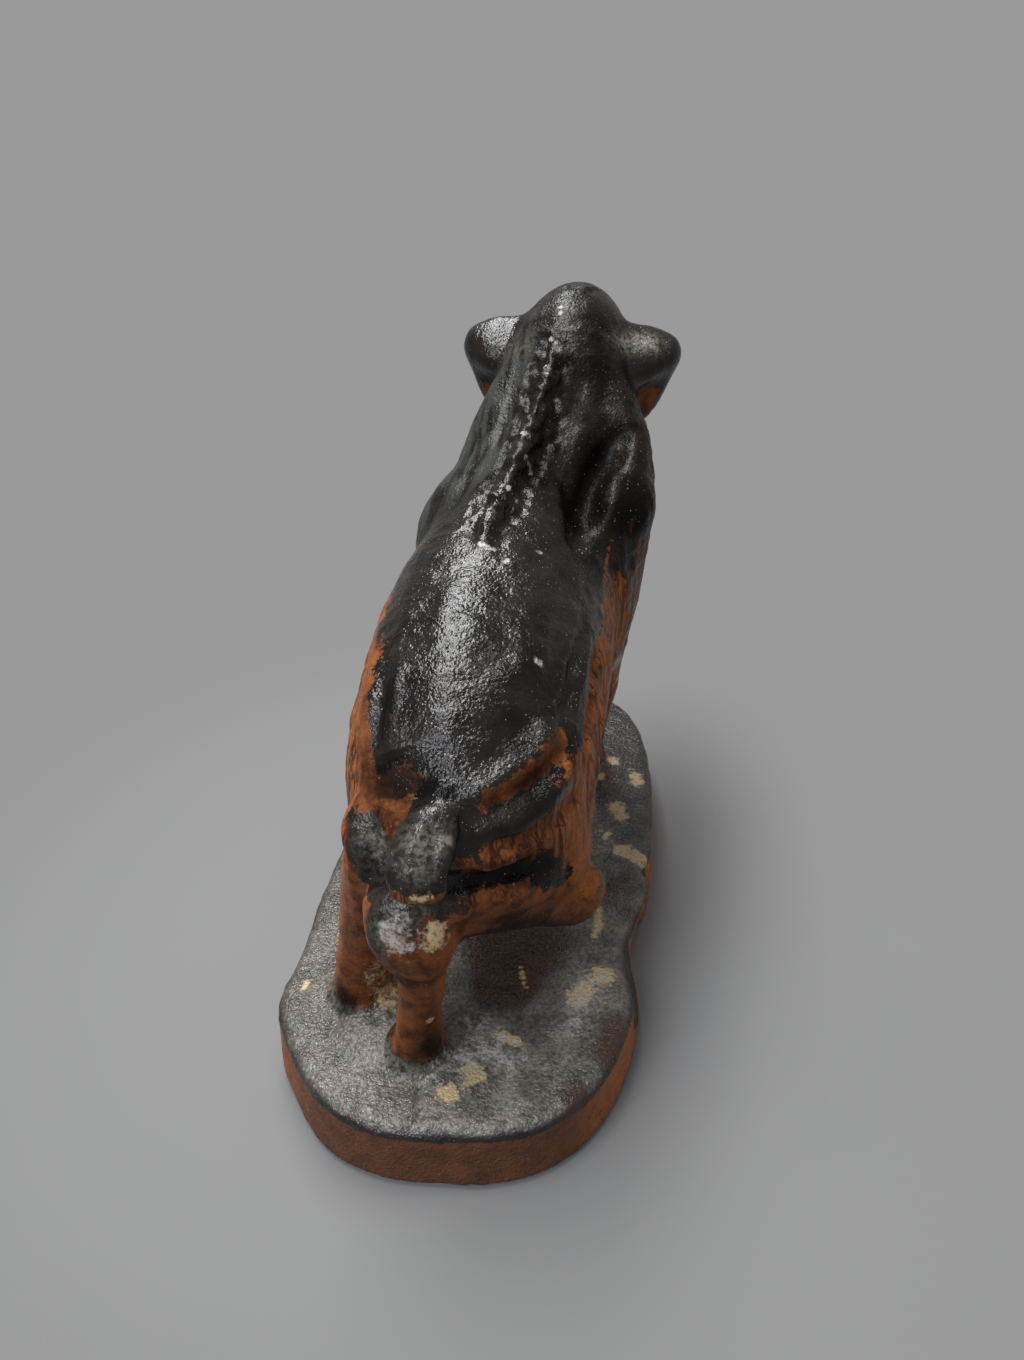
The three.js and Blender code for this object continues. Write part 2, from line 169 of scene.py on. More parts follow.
# Fat upper rim of each ear, the right shoulder blade, and the points of the hocks
EAR_ROLL_LEFT = [
    (-1, -55.6, 113.4, 8, 4.2),
    (4, -55.6, 114.2, 8, 4.6),
    (8.6, -55.8, 115, 7.4, 4.9),
    (12, -56.4, 115.2, 5.4, 4.4),
]
EAR_ROLL_RIGHT = [
    (-19, -56.6, 112.8, 8, 4.2),
    (-24, -56.8, 113.2, 8, 4.7),
    (-28.2, -57.4, 113.8, 7, 4.9),
    (-31.4, -58.4, 114, 5, 4.2),
]
EAR_SLOPE = np.array([0, 0.83, -0.54])
SHOULDER_RIGHT = [
    (-22, -41.6, 104, 4.6, 5.4),
    (-24.6, -35, 97, 5.8, 7.8),
    (-24.8, -29.5, 88, 6, 9),
    (-20.8, -24, 78, 5.4, 9),
]
HOCK_LEFT = [
    (14.8, 56, 58, 3.2, 3),
    (14.6, 57.4, 54, 5, 4.4),
    (14.6, 57, 47.6, 4.2, 4),
]
HOCK_RIGHT = [
    (7.6, 64.4, 43.4, 7, 5.4),
    (6.6, 64.6, 37, 7.6, 5.8),
    (5.8, 63.6, 31.6, 5.2, 5),
]
EAR_LEFT = [
    (-2.4, -57.8, 109.5, 12, 5.2),
    (3, -58, 109.5, 12.4, 5.2),
    (8, -58, 109.8, 11.6, 4.8),
    (11, -58, 111.8, 8.4, 4.2),
    (13.2, -57.8, 114.2, 4.6, 3),
]
EAR_RIGHT = [
    (-17.4, -58.6, 109.2, 12, 5.2),
    (-23, -59.2, 108.2, 12.4, 5.2),
    (-27.4, -59.8, 108.6, 11, 4.8),
    (-30.6, -60.2, 111, 7.6, 4),
    (-33, -60.4, 113.4, 4, 3),
]
TAIL_RUN = [
    (0, 56.5, 62.4, 3.2, 3),
    (0.8, 62, 63.4, 3.8, 2.8),
    (2, 66.2, 61.2, 5, 2.5),
    (3, 69.2, 57, 5.3, 2.4),
    (3, 70.8, 53.4, 4.8, 2.3),
]

# Neck seam: a point on it and the way it faces, towards the head
SEAM_POINT = np.array([-8, -47, 112.0])
SEAM_FACING = np.array([0, -0.85, 0.53]) / math.hypot(0.85, 0.53)

# Plinth, in the frame's own place
PLINTH_LENGTH = 168.0
PLINTH_LEFT = 42.0
PLINTH_RIGHT = 39.4
PLINTH_SHIFT = np.array([-1.33, 0.08])
PLINTH_BOTTOM = 1.0
PLINTH_TOP = 16.0
PLINTH_FLARE = 0.8
PLINTH_ROUND = 2.4
TAIL_LEFT_SQUARENESS = 3.1
TAIL_RIGHT_SQUARENESS = 2.9
HEAD_SQUARENESS = 3.6
TAIL_MIDDLE = 8.0
TAIL_SKEW = 0.075

# Dents in the plinth's sides, and one swelling: side, place along Y at its bottom and at its top,
# depth and half-length
PLINTH_DENTS = [(-1, 18.5, 31.5, 5.8, 11.5), (-1, -13.5, 2.2, 3.2, 2.6), (1, 58, 58, -3.4, 11)]
MOUND = (16.4, 55.0, 8.0, 2.6)
PLINTH_BOTTOM_ROUND = 0.6
OUTLINE_POINTS = 1441
PLINTH_STEPS = 160
FELT_STEPS = 240
FELT_INSET = 3.6

X_AXIS = np.array([1.0, 0, 0])
Y_AXIS = np.array([0, 1.0, 0])
Z_AXIS = np.array([0, 0, 1.0])
LEAST_SLOPE = 0.02


def catmull(stations, per_span):
    """More stations between the given ones, on a smooth curve."""
    p = np.array(stations, float)
    ends = np.vstack([2 * p[0] - p[1], p, 2 * p[-1] - p[-2]])
    rows = []
    for i in range(len(p) - 1):
        a, b, c, d = ends[i:i + 4]
        for t in np.arange(per_span) / per_span:
            rows.append(0.5 * (2 * b + (c - a) * t + (2 * a - 5 * b + 4 * c - d) * t**2
                               + (3 * b - a - 3 * c + d) * t**3))
    rows.append(p[-1])
    return np.array(rows)


def unit(v):
    """The same way, one long."""
    return v / np.linalg.norm(v)


def section_axes(tangent, reference=X_AXIS):
    """Two ways across a run, the first as near the reference as it can be."""
    side = unit(reference - tangent * (reference @ tangent))
    return side, np.cross(tangent, side)


class Clay:
    """A block of clay: negative inside, positive outside, in millimetres."""

    def __init__(self, low, high, cell):
        self.low = np.array(low, float)
        self.cell = cell
        self.count = np.ceil((np.array(high) - self.low) / cell).astype(int) + 1
        self.value = np.full(self.count, 50.0, np.float32)

    def window(self, low, high):
        """The cells in a box, and their places along each axis."""
        first = np.maximum(np.floor((low - self.low) / self.cell).astype(int), 0)
        last = np.minimum(np.ceil((high - self.low) / self.cell).astype(int) + 1, self.count)
        place = tuple(slice(a, max(b, a)) for a, b in zip(first, last))
        axes = [self.low[k] + self.cell * np.arange(place[k].start, place[k].stop) for k in range(3)]
        return place, np.meshgrid(*axes, indexing="ij", sparse=True)

    def add(self, low, high, distance, join):
        """Join a shape that fills the box to the clay, rounded where they meet."""
        place, (x, y, z) = self.window(np.array(low) - MARGIN - join, np.array(high) + MARGIN + join)
        old = self.value[place]
        new = distance(x, y, z).astype(np.float32)
        near = np.maximum(join - np.abs(old - new), 0) / join
        self.value[place] = np.minimum(old, new) - near * near * join / 4

    def carve(self, low, high, distance, join):
        """Cut a shape that fills the box out of the clay, with rounded edges."""
        place, (x, y, z) = self.window(np.array(low) - MARGIN - join, np.array(high) + MARGIN + join)
        old = self.value[place]
        new = -distance(x, y, z).astype(np.float32)
        near = np.maximum(join - np.abs(old - new), 0) / join
        self.value[place] = np.maximum(old, new) + near * near * join / 4

    def sample(self, points):
        """The clay's value at each point."""
        q = (points - self.low) / self.cell
        base = np.clip(np.floor(q).astype(int), 0, self.count - 2)
        f = (q - base).clip(0, 1)
        total = 0
        for dx in (0, 1):
            for dy in (0, 1):
                for dz in (0, 1):
                    w = (np.where(dx, f[:, 0], 1 - f[:, 0]) * np.where(dy, f[:, 1], 1 - f[:, 1])
                         * np.where(dz, f[:, 2], 1 - f[:, 2]))
                    total = total + w * self.value[base[:, 0] + dx, base[:, 1] + dy, base[:, 2] + dz]
        return total

    def normals(self, points, reach):
        """The way that the surface faces at each point."""
        steps = np.eye(3) * reach
        g = np.stack([self.sample(points + s) - self.sample(points - s) for s in steps], 1)
        return g / np.maximum(np.linalg.norm(g, axis=1, keepdims=True), 1e-9)

    def skin(self):
        """The clay's surface as points and four-sided faces."""
        inside = self.value < 0
        corners = [(a, b, c) for a in (0, 1) for b in (0, 1) for c in (0, 1)]
        n = self.count - 1
        full = sum(inside[a:a + n[0], b:b + n[1], c:c + n[2]].astype(np.uint8) for a, b, c in corners)
        cells = np.argwhere((full > 0) & (full < 8))
        index = np.full(n, -1, np.int32)
        index[tuple(cells.T)] = np.arange(len(cells))
        worth = {k: self.value[tuple((cells + k).T)] for k in corners}
        total = np.zeros((len(cells), 3))
        crossings = np.zeros(len(cells))
        for a in corners:
            for axis in range(3):
                if a[axis]:
                    continue
                b = tuple(1 if k == axis else a[k] for k in range(3))
                va, vb = worth[a], worth[b]
                cross = (va < 0) != (vb < 0)
                t = np.where(cross, va / np.where(cross, va - vb, 1), 0)
                point = np.array(a, float)[None] + t[:, None] * (np.array(b) - np.array(a))[None]
                total += point * cross[:, None]
                crossings += cross
        points = self.low + self.cell * (cells + total / crossings[:, None])
        quads = []
        for axis, (u, v) in enumerate(((1, 2), (2, 0), (0, 1))):
            lower = [slice(1, -1)] * 3
            upper = [slice(1, -1)] * 3
            lower[axis] = slice(0, -1)
            upper[axis] = slice(1, None)
            a, b = inside[tuple(lower)], inside[tuple(upper)]
            edge = np.argwhere(a != b)
            outward = a[tuple(edge.T)]
            cell = edge + 1
            cell[:, axis] -= 1
            eu, ev = np.eye(3, dtype=int)[u], np.eye(3, dtype=int)[v]
            ring = [cell - eu - ev, cell - ev, cell, cell - eu]
            quad = np.stack([index[tuple(r.T)] for r in ring], 1)
            quads.append(np.where(outward[:, None], quad, quad[:, ::-1]))
        return points, np.vstack(quads)


def run_bounds(rows):
    """The box that a run fills."""
    reach = rows[:, 3:5].max(1)[:, None]
    return (rows[:, :3] - reach).min(0), (rows[:, :3] + reach).max(0)


def run_distance(rows, reference=X_AXIS, facing=None):
    """Distance to a rounded run of oval sections, domed at both ends."""
    def distance(x, y, z):
        best = None
        for i in range(len(rows) - 1):
            a, b = rows[i], rows[i + 1]
            way = b[:3] - a[:3]
            length = np.linalg.norm(way)
            tangent = way / length if facing is None else facing
            side, up = section_axes(tangent, reference)
            px, py, pz = x - a[0], y - a[1], z - a[2]
            along = (px * tangent[0] + py * tangent[1] + pz * tangent[2]) / max(way @ tangent, 1e-6)
            t = np.clip(along, 0, 1)
            across = a[3] + (b[3] - a[3]) * t
            thick = a[4] + (b[4] - a[4]) * t
            round_end = np.minimum(across, thick)
            qx, qy, qz = px - t * way[0], py - t * way[1], pz - t * way[2]
            u = qx * side[0] + qy * side[1] + qz * side[2]
            v = qx * up[0] + qy * up[1] + qz * up[2]
            w = qx * tangent[0] + qy * tangent[1] + qz * tangent[2]
            k0 = np.sqrt((u / across)**2 + (v / thick)**2 + (w / round_end)**2)
            k1 = np.sqrt((u / across**2)**2 + (v / thick**2)**2 + (w / round_end**2)**2)
            d = k0 * (k0 - 1) / np.maximum(k1, 1e-6)
            best = d if best is None else np.minimum(best, d)
        return best
    return distance


def placed(stations, swell=0.0):
    """A run's stations as close-set rows in the frame's place, swollen by as much as wanted."""
    rows = catmull(stations, 4)
    rows[:, :3] += BOAR
    rows[:, 3:5] += swell
    return rows


def section_spline(rows, wanted):
    """Values of the torso's sections at the wanted places, on smooth curves."""
    table = np.array(rows, float)
    place, worth = table[:, 0], table[:, 1:]
    rise = np.diff(worth, axis=0) / np.diff(place)[:, None]
    slope = np.zeros_like(worth)
    slope[1:-1] = (rise[:-1] * np.diff(place)[1:, None] + rise[1:] * np.diff(place)[:-1, None]) \
        / (place[2:] - place[:-2])[:, None]
    slope[0], slope[-1] = rise[0], rise[-1]
    i = np.clip(np.searchsorted(place, wanted) - 1, 0, len(place) - 2)
    span = (place[i + 1] - place[i])[:, None]
    t = ((wanted - place[i])[:, None] / span).clip(0, 1)
    return ((2 * t**3 - 3 * t**2 + 1) * worth[i] + (t**3 - 2 * t**2 + t) * span * slope[i]
            + (3 * t**2 - 2 * t**3) * worth[i + 1] + (t**3 - t**2) * span * slope[i + 1])


def torso_distance(cell):
    """Distance to the torso, in a block of clay of the given cells."""
    def distance(x, y, z):
        along = (y - BOAR[1]).ravel()
        middle, ridge, top, widest, bottom, half, square = (
            column[None, :, None] for column in section_spline(TORSO_SECTIONS, along).T)
        rise = z - BOAR[2] - widest
        upper = rise > 0
        exponent = np.where(upper, square, BELLY_SQUARENESS)
        tall = np.where(upper, top - widest, widest - bottom)
        share = (np.abs(rise) / tall)**exponent
        lean = np.where(upper, (ridge - middle) * np.minimum(share, 1), 0)
        across = np.abs(x - BOAR[0] - middle - lean) / half
        n = (across**exponent + share)**(1 / exponent)
        slope = np.gradient(n, cell)
        steep = np.sqrt(sum(g * g for g in slope))
        d = (n - 1) / np.maximum(steep, LEAST_SLOPE)
        first, last = TORSO_SECTIONS[0][0], TORSO_SECTIONS[-1][0]
        local = y - BOAR[1]
        return np.maximum(d, np.maximum(local - last - 1, first - local))
    return distance


def plinth_outline(steps, inset=0.0, rise=0.0):
    """The plinth's outline from above as evenly spaced points, at a share of its height."""
    half = PLINTH_LENGTH / 2
    angle = np.linspace(0, 2 * math.pi, OUTLINE_POINTS)
    c, s = np.cos(angle), np.sin(angle)
    power = np.where(s > 0, np.where(c > 0, TAIL_LEFT_SQUARENESS, TAIL_RIGHT_SQUARENESS), HEAD_SQUARENESS)
    side = np.where(c > 0, PLINTH_LEFT, PLINTH_RIGHT)
    y = (half - inset) * np.sign(s) * np.abs(s)**(2 / power)
    x = (side - inset) * np.sign(c) * np.abs(c)**(2 / power)
    for face, low, high, depth, reach in PLINTH_DENTS:
        along = low + (high - low) * rise
        x = x - (face * c > 0) * face * depth * np.exp(-((y - along) / reach)**2) * np.abs(c)**0.5
    y = y - (s > 0) * TAIL_SKEW * np.maximum(TAIL_MIDDLE - x, 0) * s**4
    x = x + PLINTH_SHIFT[0]
    y = y + PLINTH_SHIFT[1]
    run = np.concatenate([[0], np.cumsum(np.hypot(np.diff(x), np.diff(y)))])
    wanted = np.linspace(0, run[-1], steps + 1)[:-1]
    return np.stack([np.interp(wanted, run, x), np.interp(wanted, run, y)], 1)


def outline_distance(x, y, outline):
    """Signed distance in the plane to a closed outline, negative inside."""
    px, py = np.broadcast_arrays(x, y)
    best = np.full(px.shape, 1e9)
    crossings = np.zeros(px.shape, int)
    ends = np.roll(outline, -1, 0)
    for (ax, ay), (bx, by) in zip(outline, ends):
        wx, wy = bx - ax, by - ay
        t = np.clip(((px - ax) * wx + (py - ay) * wy) / (wx * wx + wy * wy), 0, 1)
        best = np.minimum(best, (px - ax - t * wx)**2 + (py - ay - t * wy)**2)
        if ay != by:
            crossings += ((ay > py) != (by > py)) & (px < (bx - ax) * (py - ay) / (by - ay) + ax)
    return np.sqrt(best) * np.where(crossings % 2, -1, 1)


def plinth_distance(x, y, z):
    """Distance to the plinth, with its dents, its flare and its rounded rims."""
    floor_plan, top_plan = (
        outline_distance(x[:, :, 0], y[:, :, 0], plinth_outline(PLINTH_STEPS, 0, rise))[:, :, None]
        for rise in (0, 1))
    rise = np.clip((z - PLINTH_BOTTOM) / (PLINTH_TOP - PLINTH_BOTTOM), 0, 1)
    wall = floor_plan + (top_plan - floor_plan) * rise + PLINTH_FLARE * rise
    middle = (PLINTH_TOP + PLINTH_BOTTOM) / 2
    slab = np.abs(z - middle) - (PLINTH_TOP - PLINTH_BOTTOM) / 2
    round_edge = np.where(z > middle, PLINTH_ROUND, PLINTH_BOTTOM_ROUND)
    a, b = wall + round_edge, slab + round_edge
    return np.minimum(np.maximum(a, b), 0) + np.hypot(np.maximum(a, 0), np.maximum(b, 0)) - round_edge


def lump_distance(centre, radii, turn=None):
    """Distance to an egg-shaped lump."""
    middle = np.array(centre, float) + BOAR
    axes = np.eye(3) if turn is None else np.array(turn)

    def distance(x, y, z):
        p = [x - middle[0], y - middle[1], z - middle[2]]
        q = [p[0] * a[0] + p[1] * a[1] + p[2] * a[2] for a in axes]
        k0 = np.sqrt(sum((v / r)**2 for v, r in zip(q, radii)))
        k1 = np.sqrt(sum((v / r**2)**2 for v, r in zip(q, radii)))
        return k0 * (k0 - 1) / np.maximum(k1, 1e-6)
    return distance


def add_lump(clay, centre, radii, join, turn=None):
    middle = np.array(centre, float) + BOAR
    reach = max(radii)
    clay.add(middle - reach, middle + reach, lump_distance(centre, radii, turn), join)


def carve_lump(clay, centre, radii, join, turn=None):
    middle = np.array(centre, float) + BOAR
    reach = max(radii)
    clay.carve(middle - reach, middle + reach, lump_distance(centre, radii, turn), join)


def add_run(clay, stations, join, reference=X_AXIS, facing=None):
    rows = placed(stations)
    clay.add(*run_bounds(rows), run_distance(rows, reference, facing), join)


def carve_drawn(clay, tree, radius, depth, join, line):
    """A groove under a line drawn on the photograph, thinner at its ends, with soft edges."""
    places, normals = drawn_line(tree, "photo", line, HOLLOW_STEP)
    share = np.linspace(0, 1, len(places))[:, None]
    radii = radius * (0.5 + 0.5 * np.sin(math.pi * share))
    centres = places + normals * (radii - depth * radii / radius)
    rows = np.hstack([centres, radii, radii])
    across = X_AXIS if abs(unit(places[-1] - places[0])[0]) < 0.8 else Z_AXIS
    clay.carve(*run_bounds(rows), run_distance(rows, across), join)


# The photograph's frame, the camera's focal length in its pixels, its place and its line of sight
NEAREST = 0.005
PHOTO_WIDTH = 1024
PHOTO_HEIGHT = 1360
FOCAL_PIXELS = 950.0
SENSOR = 36.0
CAMERA_PLACE = np.array([-30.5, 190.4, 177.0])
LOOK = unit(np.array([0.1190, -0.8578, -0.5]))
CAMERA_RIGHT = unit(np.cross(LOOK, Z_AXIS))
CAMERA_UP = np.cross(CAMERA_RIGHT, LOOK)
FAR = 300.0

# How far apart the points of a drawn line lie: in the photograph's pixels, and in millimetres
PHOTO_STEP = 5.0
HOLLOW_STEP = 14.0
SIDE_STEP = 1.5


def sight_line(view, a, b):
    """Start and direction of the line that meets the figure at a place drawn in one of the views."""
    if view == "photo":
        across, down = a - PHOTO_WIDTH / 2, b - PHOTO_HEIGHT / 2
        return CAMERA_PLACE, unit(LOOK * FOCAL_PIXELS + CAMERA_RIGHT * across - CAMERA_UP * down)
    if view == "left":
        return BOAR + [FAR, a, b], -X_AXIS
    if view == "right":
        return BOAR + [-FAR, a, b], X_AXIS
    if view == "front":
        return BOAR + [a, -FAR, b], Y_AXIS
    return BOAR + [a, b, FAR], -Z_AXIS


def drawn_line(skin_tree, view, line, step):
    """Points on the skin under a line drawn in a view, close together, with the skin's facing."""
    line = np.array(line, float)
    if len(line) == 1:
        line = np.vstack([line, line + 0.01])
    run = np.concatenate([[0], np.cumsum(np.hypot(*np.diff(line, axis=0).T))])
    wanted = np.linspace(0, run[-1], max(2, int(run[-1] / step) + 1))
    places, facings = [], []
    for a, b in zip(np.interp(wanted, run, line[:, 0]), np.interp(wanted, run, line[:, 1])):
        start, way = sight_line(view, a, b)
        place, facing, _, _ = skin_tree.ray_cast(Vector(start), Vector(way))
        if place is not None:
            places.append(place)
            facings.append(facing)
    return np.array(places), np.array(facings)


LATTICE_SIZE = 32
LATTICE_SHIFT = 7.3
LATTICE_COUNT = 4


def lattice(seed):
    """A block of random numbers from -1 to 1."""
    chances = np.random.default_rng(seed).random((LATTICE_SIZE, LATTICE_SIZE, LATTICE_SIZE))
    return chances.astype(np.float32) * 2 - 1


LATTICES = [lattice(seed) for seed in range(LATTICE_COUNT)]


def lumps(points, size, which=0):
    """Smooth noise from -1 to 1 with lumps of the given size in millimetres, or one size per axis."""
    grid = LATTICES[which]
    q = points / np.asarray(size, float) + LATTICE_SHIFT * (which + 1)
    base = np.floor(q).astype(int)
    f = q - base
    f = f * f * f * (f * (f * 6 - 15) + 10)
    total = 0
    for dx in (0, 1):
        for dy in (0, 1):
            for dz in (0, 1):
                w = (f[:, 0] if dx else 1 - f[:, 0]) * (f[:, 1] if dy else 1 - f[:, 1]) \
                    * (f[:, 2] if dz else 1 - f[:, 2])
                corner = (base + (dx, dy, dz)) % LATTICE_SIZE
                total = total + w * grid[tuple(corner.T)]
    return total


def layered(points, layers):
    """Several kinds of lumps together: height, size and which noise."""
    return sum(height * lumps(points, size, which) for height, size, which in layers)


def smooth(low, high, value):
    """From 0 at low to 1 at high, with no kink at either."""
    t = np.clip((value - low) / (high - low), 0, 1)
    return t * t * (3 - 2 * t)


# How a painted stroke fades: its reach in widths, its taper and its strength at the ends, and how
# alike two places must face
STROKE_REACH = 2.6
STROKE_TAPER = 0.35
STROKE_END = 0.1225
SAME_SIDE = 0.15


def brushed(points, facing, lines):
    """How strongly each point lies under the given lines: from 0 to the line's own amount."""
    total = np.zeros(len(points))
    for width, amount, (places, normals) in lines:
        if not len(places):
            continue
        reach = STROKE_REACH * width
        close = np.all((points > places.min(0) - reach) & (points < places.max(0) + reach), 1)
        near = np.nonzero(close)[0]
        if not len(near):
            continue
        p = points[near]
        gap = np.full(len(near), 1e9)
        best = np.zeros(len(near), int)
        for k, place in enumerate(places):
            d = ((p - place)**2).sum(1)
            better = d < gap
            gap[better] = d[better]
            best[better] = k
        same_side = (facing[near] * normals[best]).sum(1) > SAME_SIDE
        share = best / max(len(places) - 1, 1)
        from_end = np.minimum(share, 1 - share) + STROKE_END
        ends = smooth(0, STROKE_TAPER, from_end) if len(places) > 2 else 1
        total[near] += amount * np.exp(-gap / width**2) * same_side * ends
    return total


# Folds and grooves drawn on the photograph: width, height (a groove where it is negative), line
FOLDS = [
    (2.2, -0.8, [(503, 419), (488, 445), (472, 470)]),
    (1.8, -0.6, [(490, 421), (473, 446), (457, 470)]),
    (2.4, -0.9, [(475, 468), (455, 500), (441, 527)]),
    (2.6, -1.6, [(613, 444), (600, 462), (590, 485), (583, 511), (580, 537)]),
    (2.4, -0.5, [(556, 455), (566, 490), (575, 525)]),
    (2.2, 0.5, [(575, 400), (580, 440), (574, 470)]),
    (2.0, -0.4, [(600, 350), (606, 385), (604, 420)]),
    (2.2, -0.6, [(520, 545), (545, 553), (572, 546), (588, 556)]),
    (4.0, -0.5, [(437, 560), (418, 620), (408, 690), (405, 740)]),
    (4.6, -0.6, [(497, 560), (506, 610), (493, 680), (478, 740)]),
    (3.6, 0.4, [(536, 636), (515, 665), (496, 692), (484, 730)]),
    (3.6, -0.4, [(545, 680), (525, 715), (500, 745)]),
    (1.7, 0.8, [(379, 634), (368, 700), (363, 770)]),
    (1.7, -0.9, [(388, 644), (379, 706), (376, 757)]),
    (1.6, 0.5, [(396, 660), (388, 710), (384, 760)]),
    (6.0, -1.2, [(390, 750), (395, 775), (400, 800)]),
    (1.3, -0.9, [(404, 803), (425, 797), (450, 800), (462, 806)]),
    (1.5, -0.9, [(584, 623), (571, 680), (558, 731)]),
    (1.5, 0.7, [(591, 630), (579, 690), (567, 745)]),
    (1.4, -0.8, [(601, 640), (592, 700), (584, 760)]),
    (1.4, 0.6, [(604, 690), (598, 750), (592, 800)]),
    (1.7, -0.7, [(566, 600), (556, 655), (545, 700)]),
    (2.4, 1.5, [(468, 803), (505, 778), (540, 752), (556, 718)]),
    (2.0, -1.3, [(474, 816), (510, 795), (545, 775), (570, 740)]),
    (2.6, 1.5, [(484, 832), (520, 821), (546, 803), (566, 770), (577, 730)]),
    (2.0, -1.4, [(480, 850), (520, 842), (556, 824), (580, 790)]),
    (2.2, 1.4, [(467, 872), (495, 862), (521, 849), (548, 831), (566, 806)]),
    (2.6, -1.8, [(449, 883), (495, 877), (526, 866), (546, 857)]),
    (3.4, 0.9, [(467, 901), (506, 901), (544, 896), (573, 890)]),
    (3.6, 2.0, [(588, 868), (590, 885), (582, 900)]),
    (1.4, -0.9, [(568, 840), (572, 865), (566, 885)]),
    (0.8, -0.8, [(417, 914), (419, 940), (421, 962)]),
    (0.8, -0.7, [(425, 914), (426, 935), (426, 957)]),
    (0.9, -0.7, [(384, 968), (400, 981), (418, 986), (436, 982), (448, 968)]),
    (0.7, -0.9, [(418, 1078), (419, 1100), (420, 1126)]),
    (1.0, 0.35, [(410, 1080), (410, 1120)]),
    (3.0, -0.6, [(545, 985), (562, 1012), (570, 1030)]),
    (1.4, 0.5, [(420, 822), (412, 850), (410, 885)]),
    (1.2, -0.5, [(436, 825), (432, 855), (428, 885)]),
]


def on_both_sides(*fold):
    return [(view, *fold) for view in ("left", "right")]


# Folds and grooves drawn on the views of the hidden sides, with the view first
HIDDEN_FOLDS = [
    *on_both_sides(1.0, -1.1, [(-80, 86.5), (-75.5, 90.4), (-70.5, 94), (-66.5, 97.5), (-64.5, 101)]),
    *on_both_sides(1.0, -0.5, [(-82, 92), (-79, 90), (-77, 88)]),
    *on_both_sides(1.0, -0.45, [(-80, 95), (-76.5, 93), (-75, 91.5)]),
    *on_both_sides(2.4, 0.9, [(-66, 113), (-69.5, 112.4), (-72.5, 110)]),
    ("left", 2.6, -1.0, [(-4, 88), (-6, 74), (-10, 60), (-13, 48)]),
    *on_both_sides(3.0, -0.9, [(24, 74), (21, 62), (22, 50), (28, 40)]),
    *on_both_sides(2.2, 0.5, [(14, 72), (11, 60), (12, 48)]),
    *on_both_sides(2.2, -0.5, [(7, 74), (4, 62), (5, 48)]),
    ("left", 2.4, -0.9, [(-34, 96), (-31, 84), (-30, 72), (-34, 60)]),
    ("right", 2.4, -0.7, [(-38, 84), (-36, 74), (-35, 66)]),
    ("left", 1.6, -0.8, [(-58, 92), (-52, 98), (-48, 106)]),
    ("front", 0.9, -1.0, [(-18.4, -1), (-18.3, 3), (-18.2, 7)]),
    ("front", 0.9, -1.0, [(8.4, -1), (8.5, 3), (8.6, 7)]),
    ("left", 1.2, -0.6, [(-50, 7.4), (-45, 7), (-40, 7.4)]),
    ("right", 1.2, -0.6, [(-53, 7.4), (-48, 7), (-43, 7.4)]),
]

SNOUT_WAY = unit(np.array([-0.4, -4.5, -5.4]))
SNOUT_TIP = np.array([-13.0, -82.7, 87.3])
SNOUT_AXES = [X_AXIS, SNOUT_WAY, np.cross(SNOUT_WAY, X_AXIS)]
SNOUT_DISC = (7.2, 2.0, 6.2)
SNOUT_JOIN = 1.6
NOSTRIL = (1.5, 1.8, 2.1)
NOSTRIL_AHEAD = 1.6
NOSTRIL_ASIDE = 2.8
NOSTRIL_JOIN = 0.8
FACE_MIDDLE = -11.5
CHEEK = (4.4, 7, 7)
CHEEK_ASIDE = 9
CHEEK_PLACE = (-61, 101)
CHEEK_JOIN = 4
EYES = {"eye_left": (-1.6, -69, 108.6), "eye_right": (-21.4, -69, 108.6)}
EYE_RADIUS = 1.9
BROW = (1.9, 3.6, 3)
BROW_SHIFT = (-0.9, 0.3, 0.4)
BROW_JOIN = 1.6
EYE_SOCKET = (1.9, 2.5, 1.9)
SOCKET_SHIFT = (0.5, 0, 0)
SOCKET_JOIN = 0.6
LIP = (2.2, 2.8, 2.6)
LIP_MIDDLE = -12.4
LIP_ASIDE = 7.4
LIP_PLACE = (-75.4, 91.2)
LIP_JOIN = 1.5

# The runs of clay, each with how softly it joins what is there already, the axis that its sections
# lie along and the way that they face, where these aren't worked out from its course
RUNS = [
    (THIGH_RIGHT, 5),
    (THIGH_LEFT, 5),
    (HEAD_SECTIONS, 4),
    (CREST_RUN, 1.4),
    (EAR_LEFT, 3, Z_AXIS, X_AXIS),
    (EAR_RIGHT, 3, Z_AXIS, -X_AXIS),
    (EAR_ROLL_LEFT, 3, EAR_SLOPE, X_AXIS),
    (EAR_ROLL_RIGHT, 3, EAR_SLOPE, -X_AXIS),
    (FORELEG_RIGHT, 5),
    (SHOULDER_RIGHT, 6),
    (FORELEG_LEFT, 6),
    (SHANK_LEFT, 2.5),
    (CANNON_LEFT, 2.5),
    (HOCK_LEFT, 1.6),
    (SHANK_RIGHT, 2),
    (CANNON_RIGHT, 2),
    (HOCK_RIGHT, 2),
    (TAIL_RUN, 1.6),
]
TORSO_JOIN = 0.5
PLINTH_JOIN = 3.6
MOUND_JOIN = 3

# Crumbs between the hind feet: how many, where, how far they spread, their size and their height
RUBBLE_STONES = 34
RUBBLE_PLACE = np.array([16.6, 51.5])
RUBBLE_SPREAD = (3.0, 3.6)
RUBBLE_SIZE = (0.7, 1.7)
RUBBLE_PEAK = 3.4
RUBBLE_SLOPE = 0.35
RUBBLE_LEAST = 0.4
RUBBLE_HEIGHTS = (0.4, 1.1)
RUBBLE_JOIN = 0.6

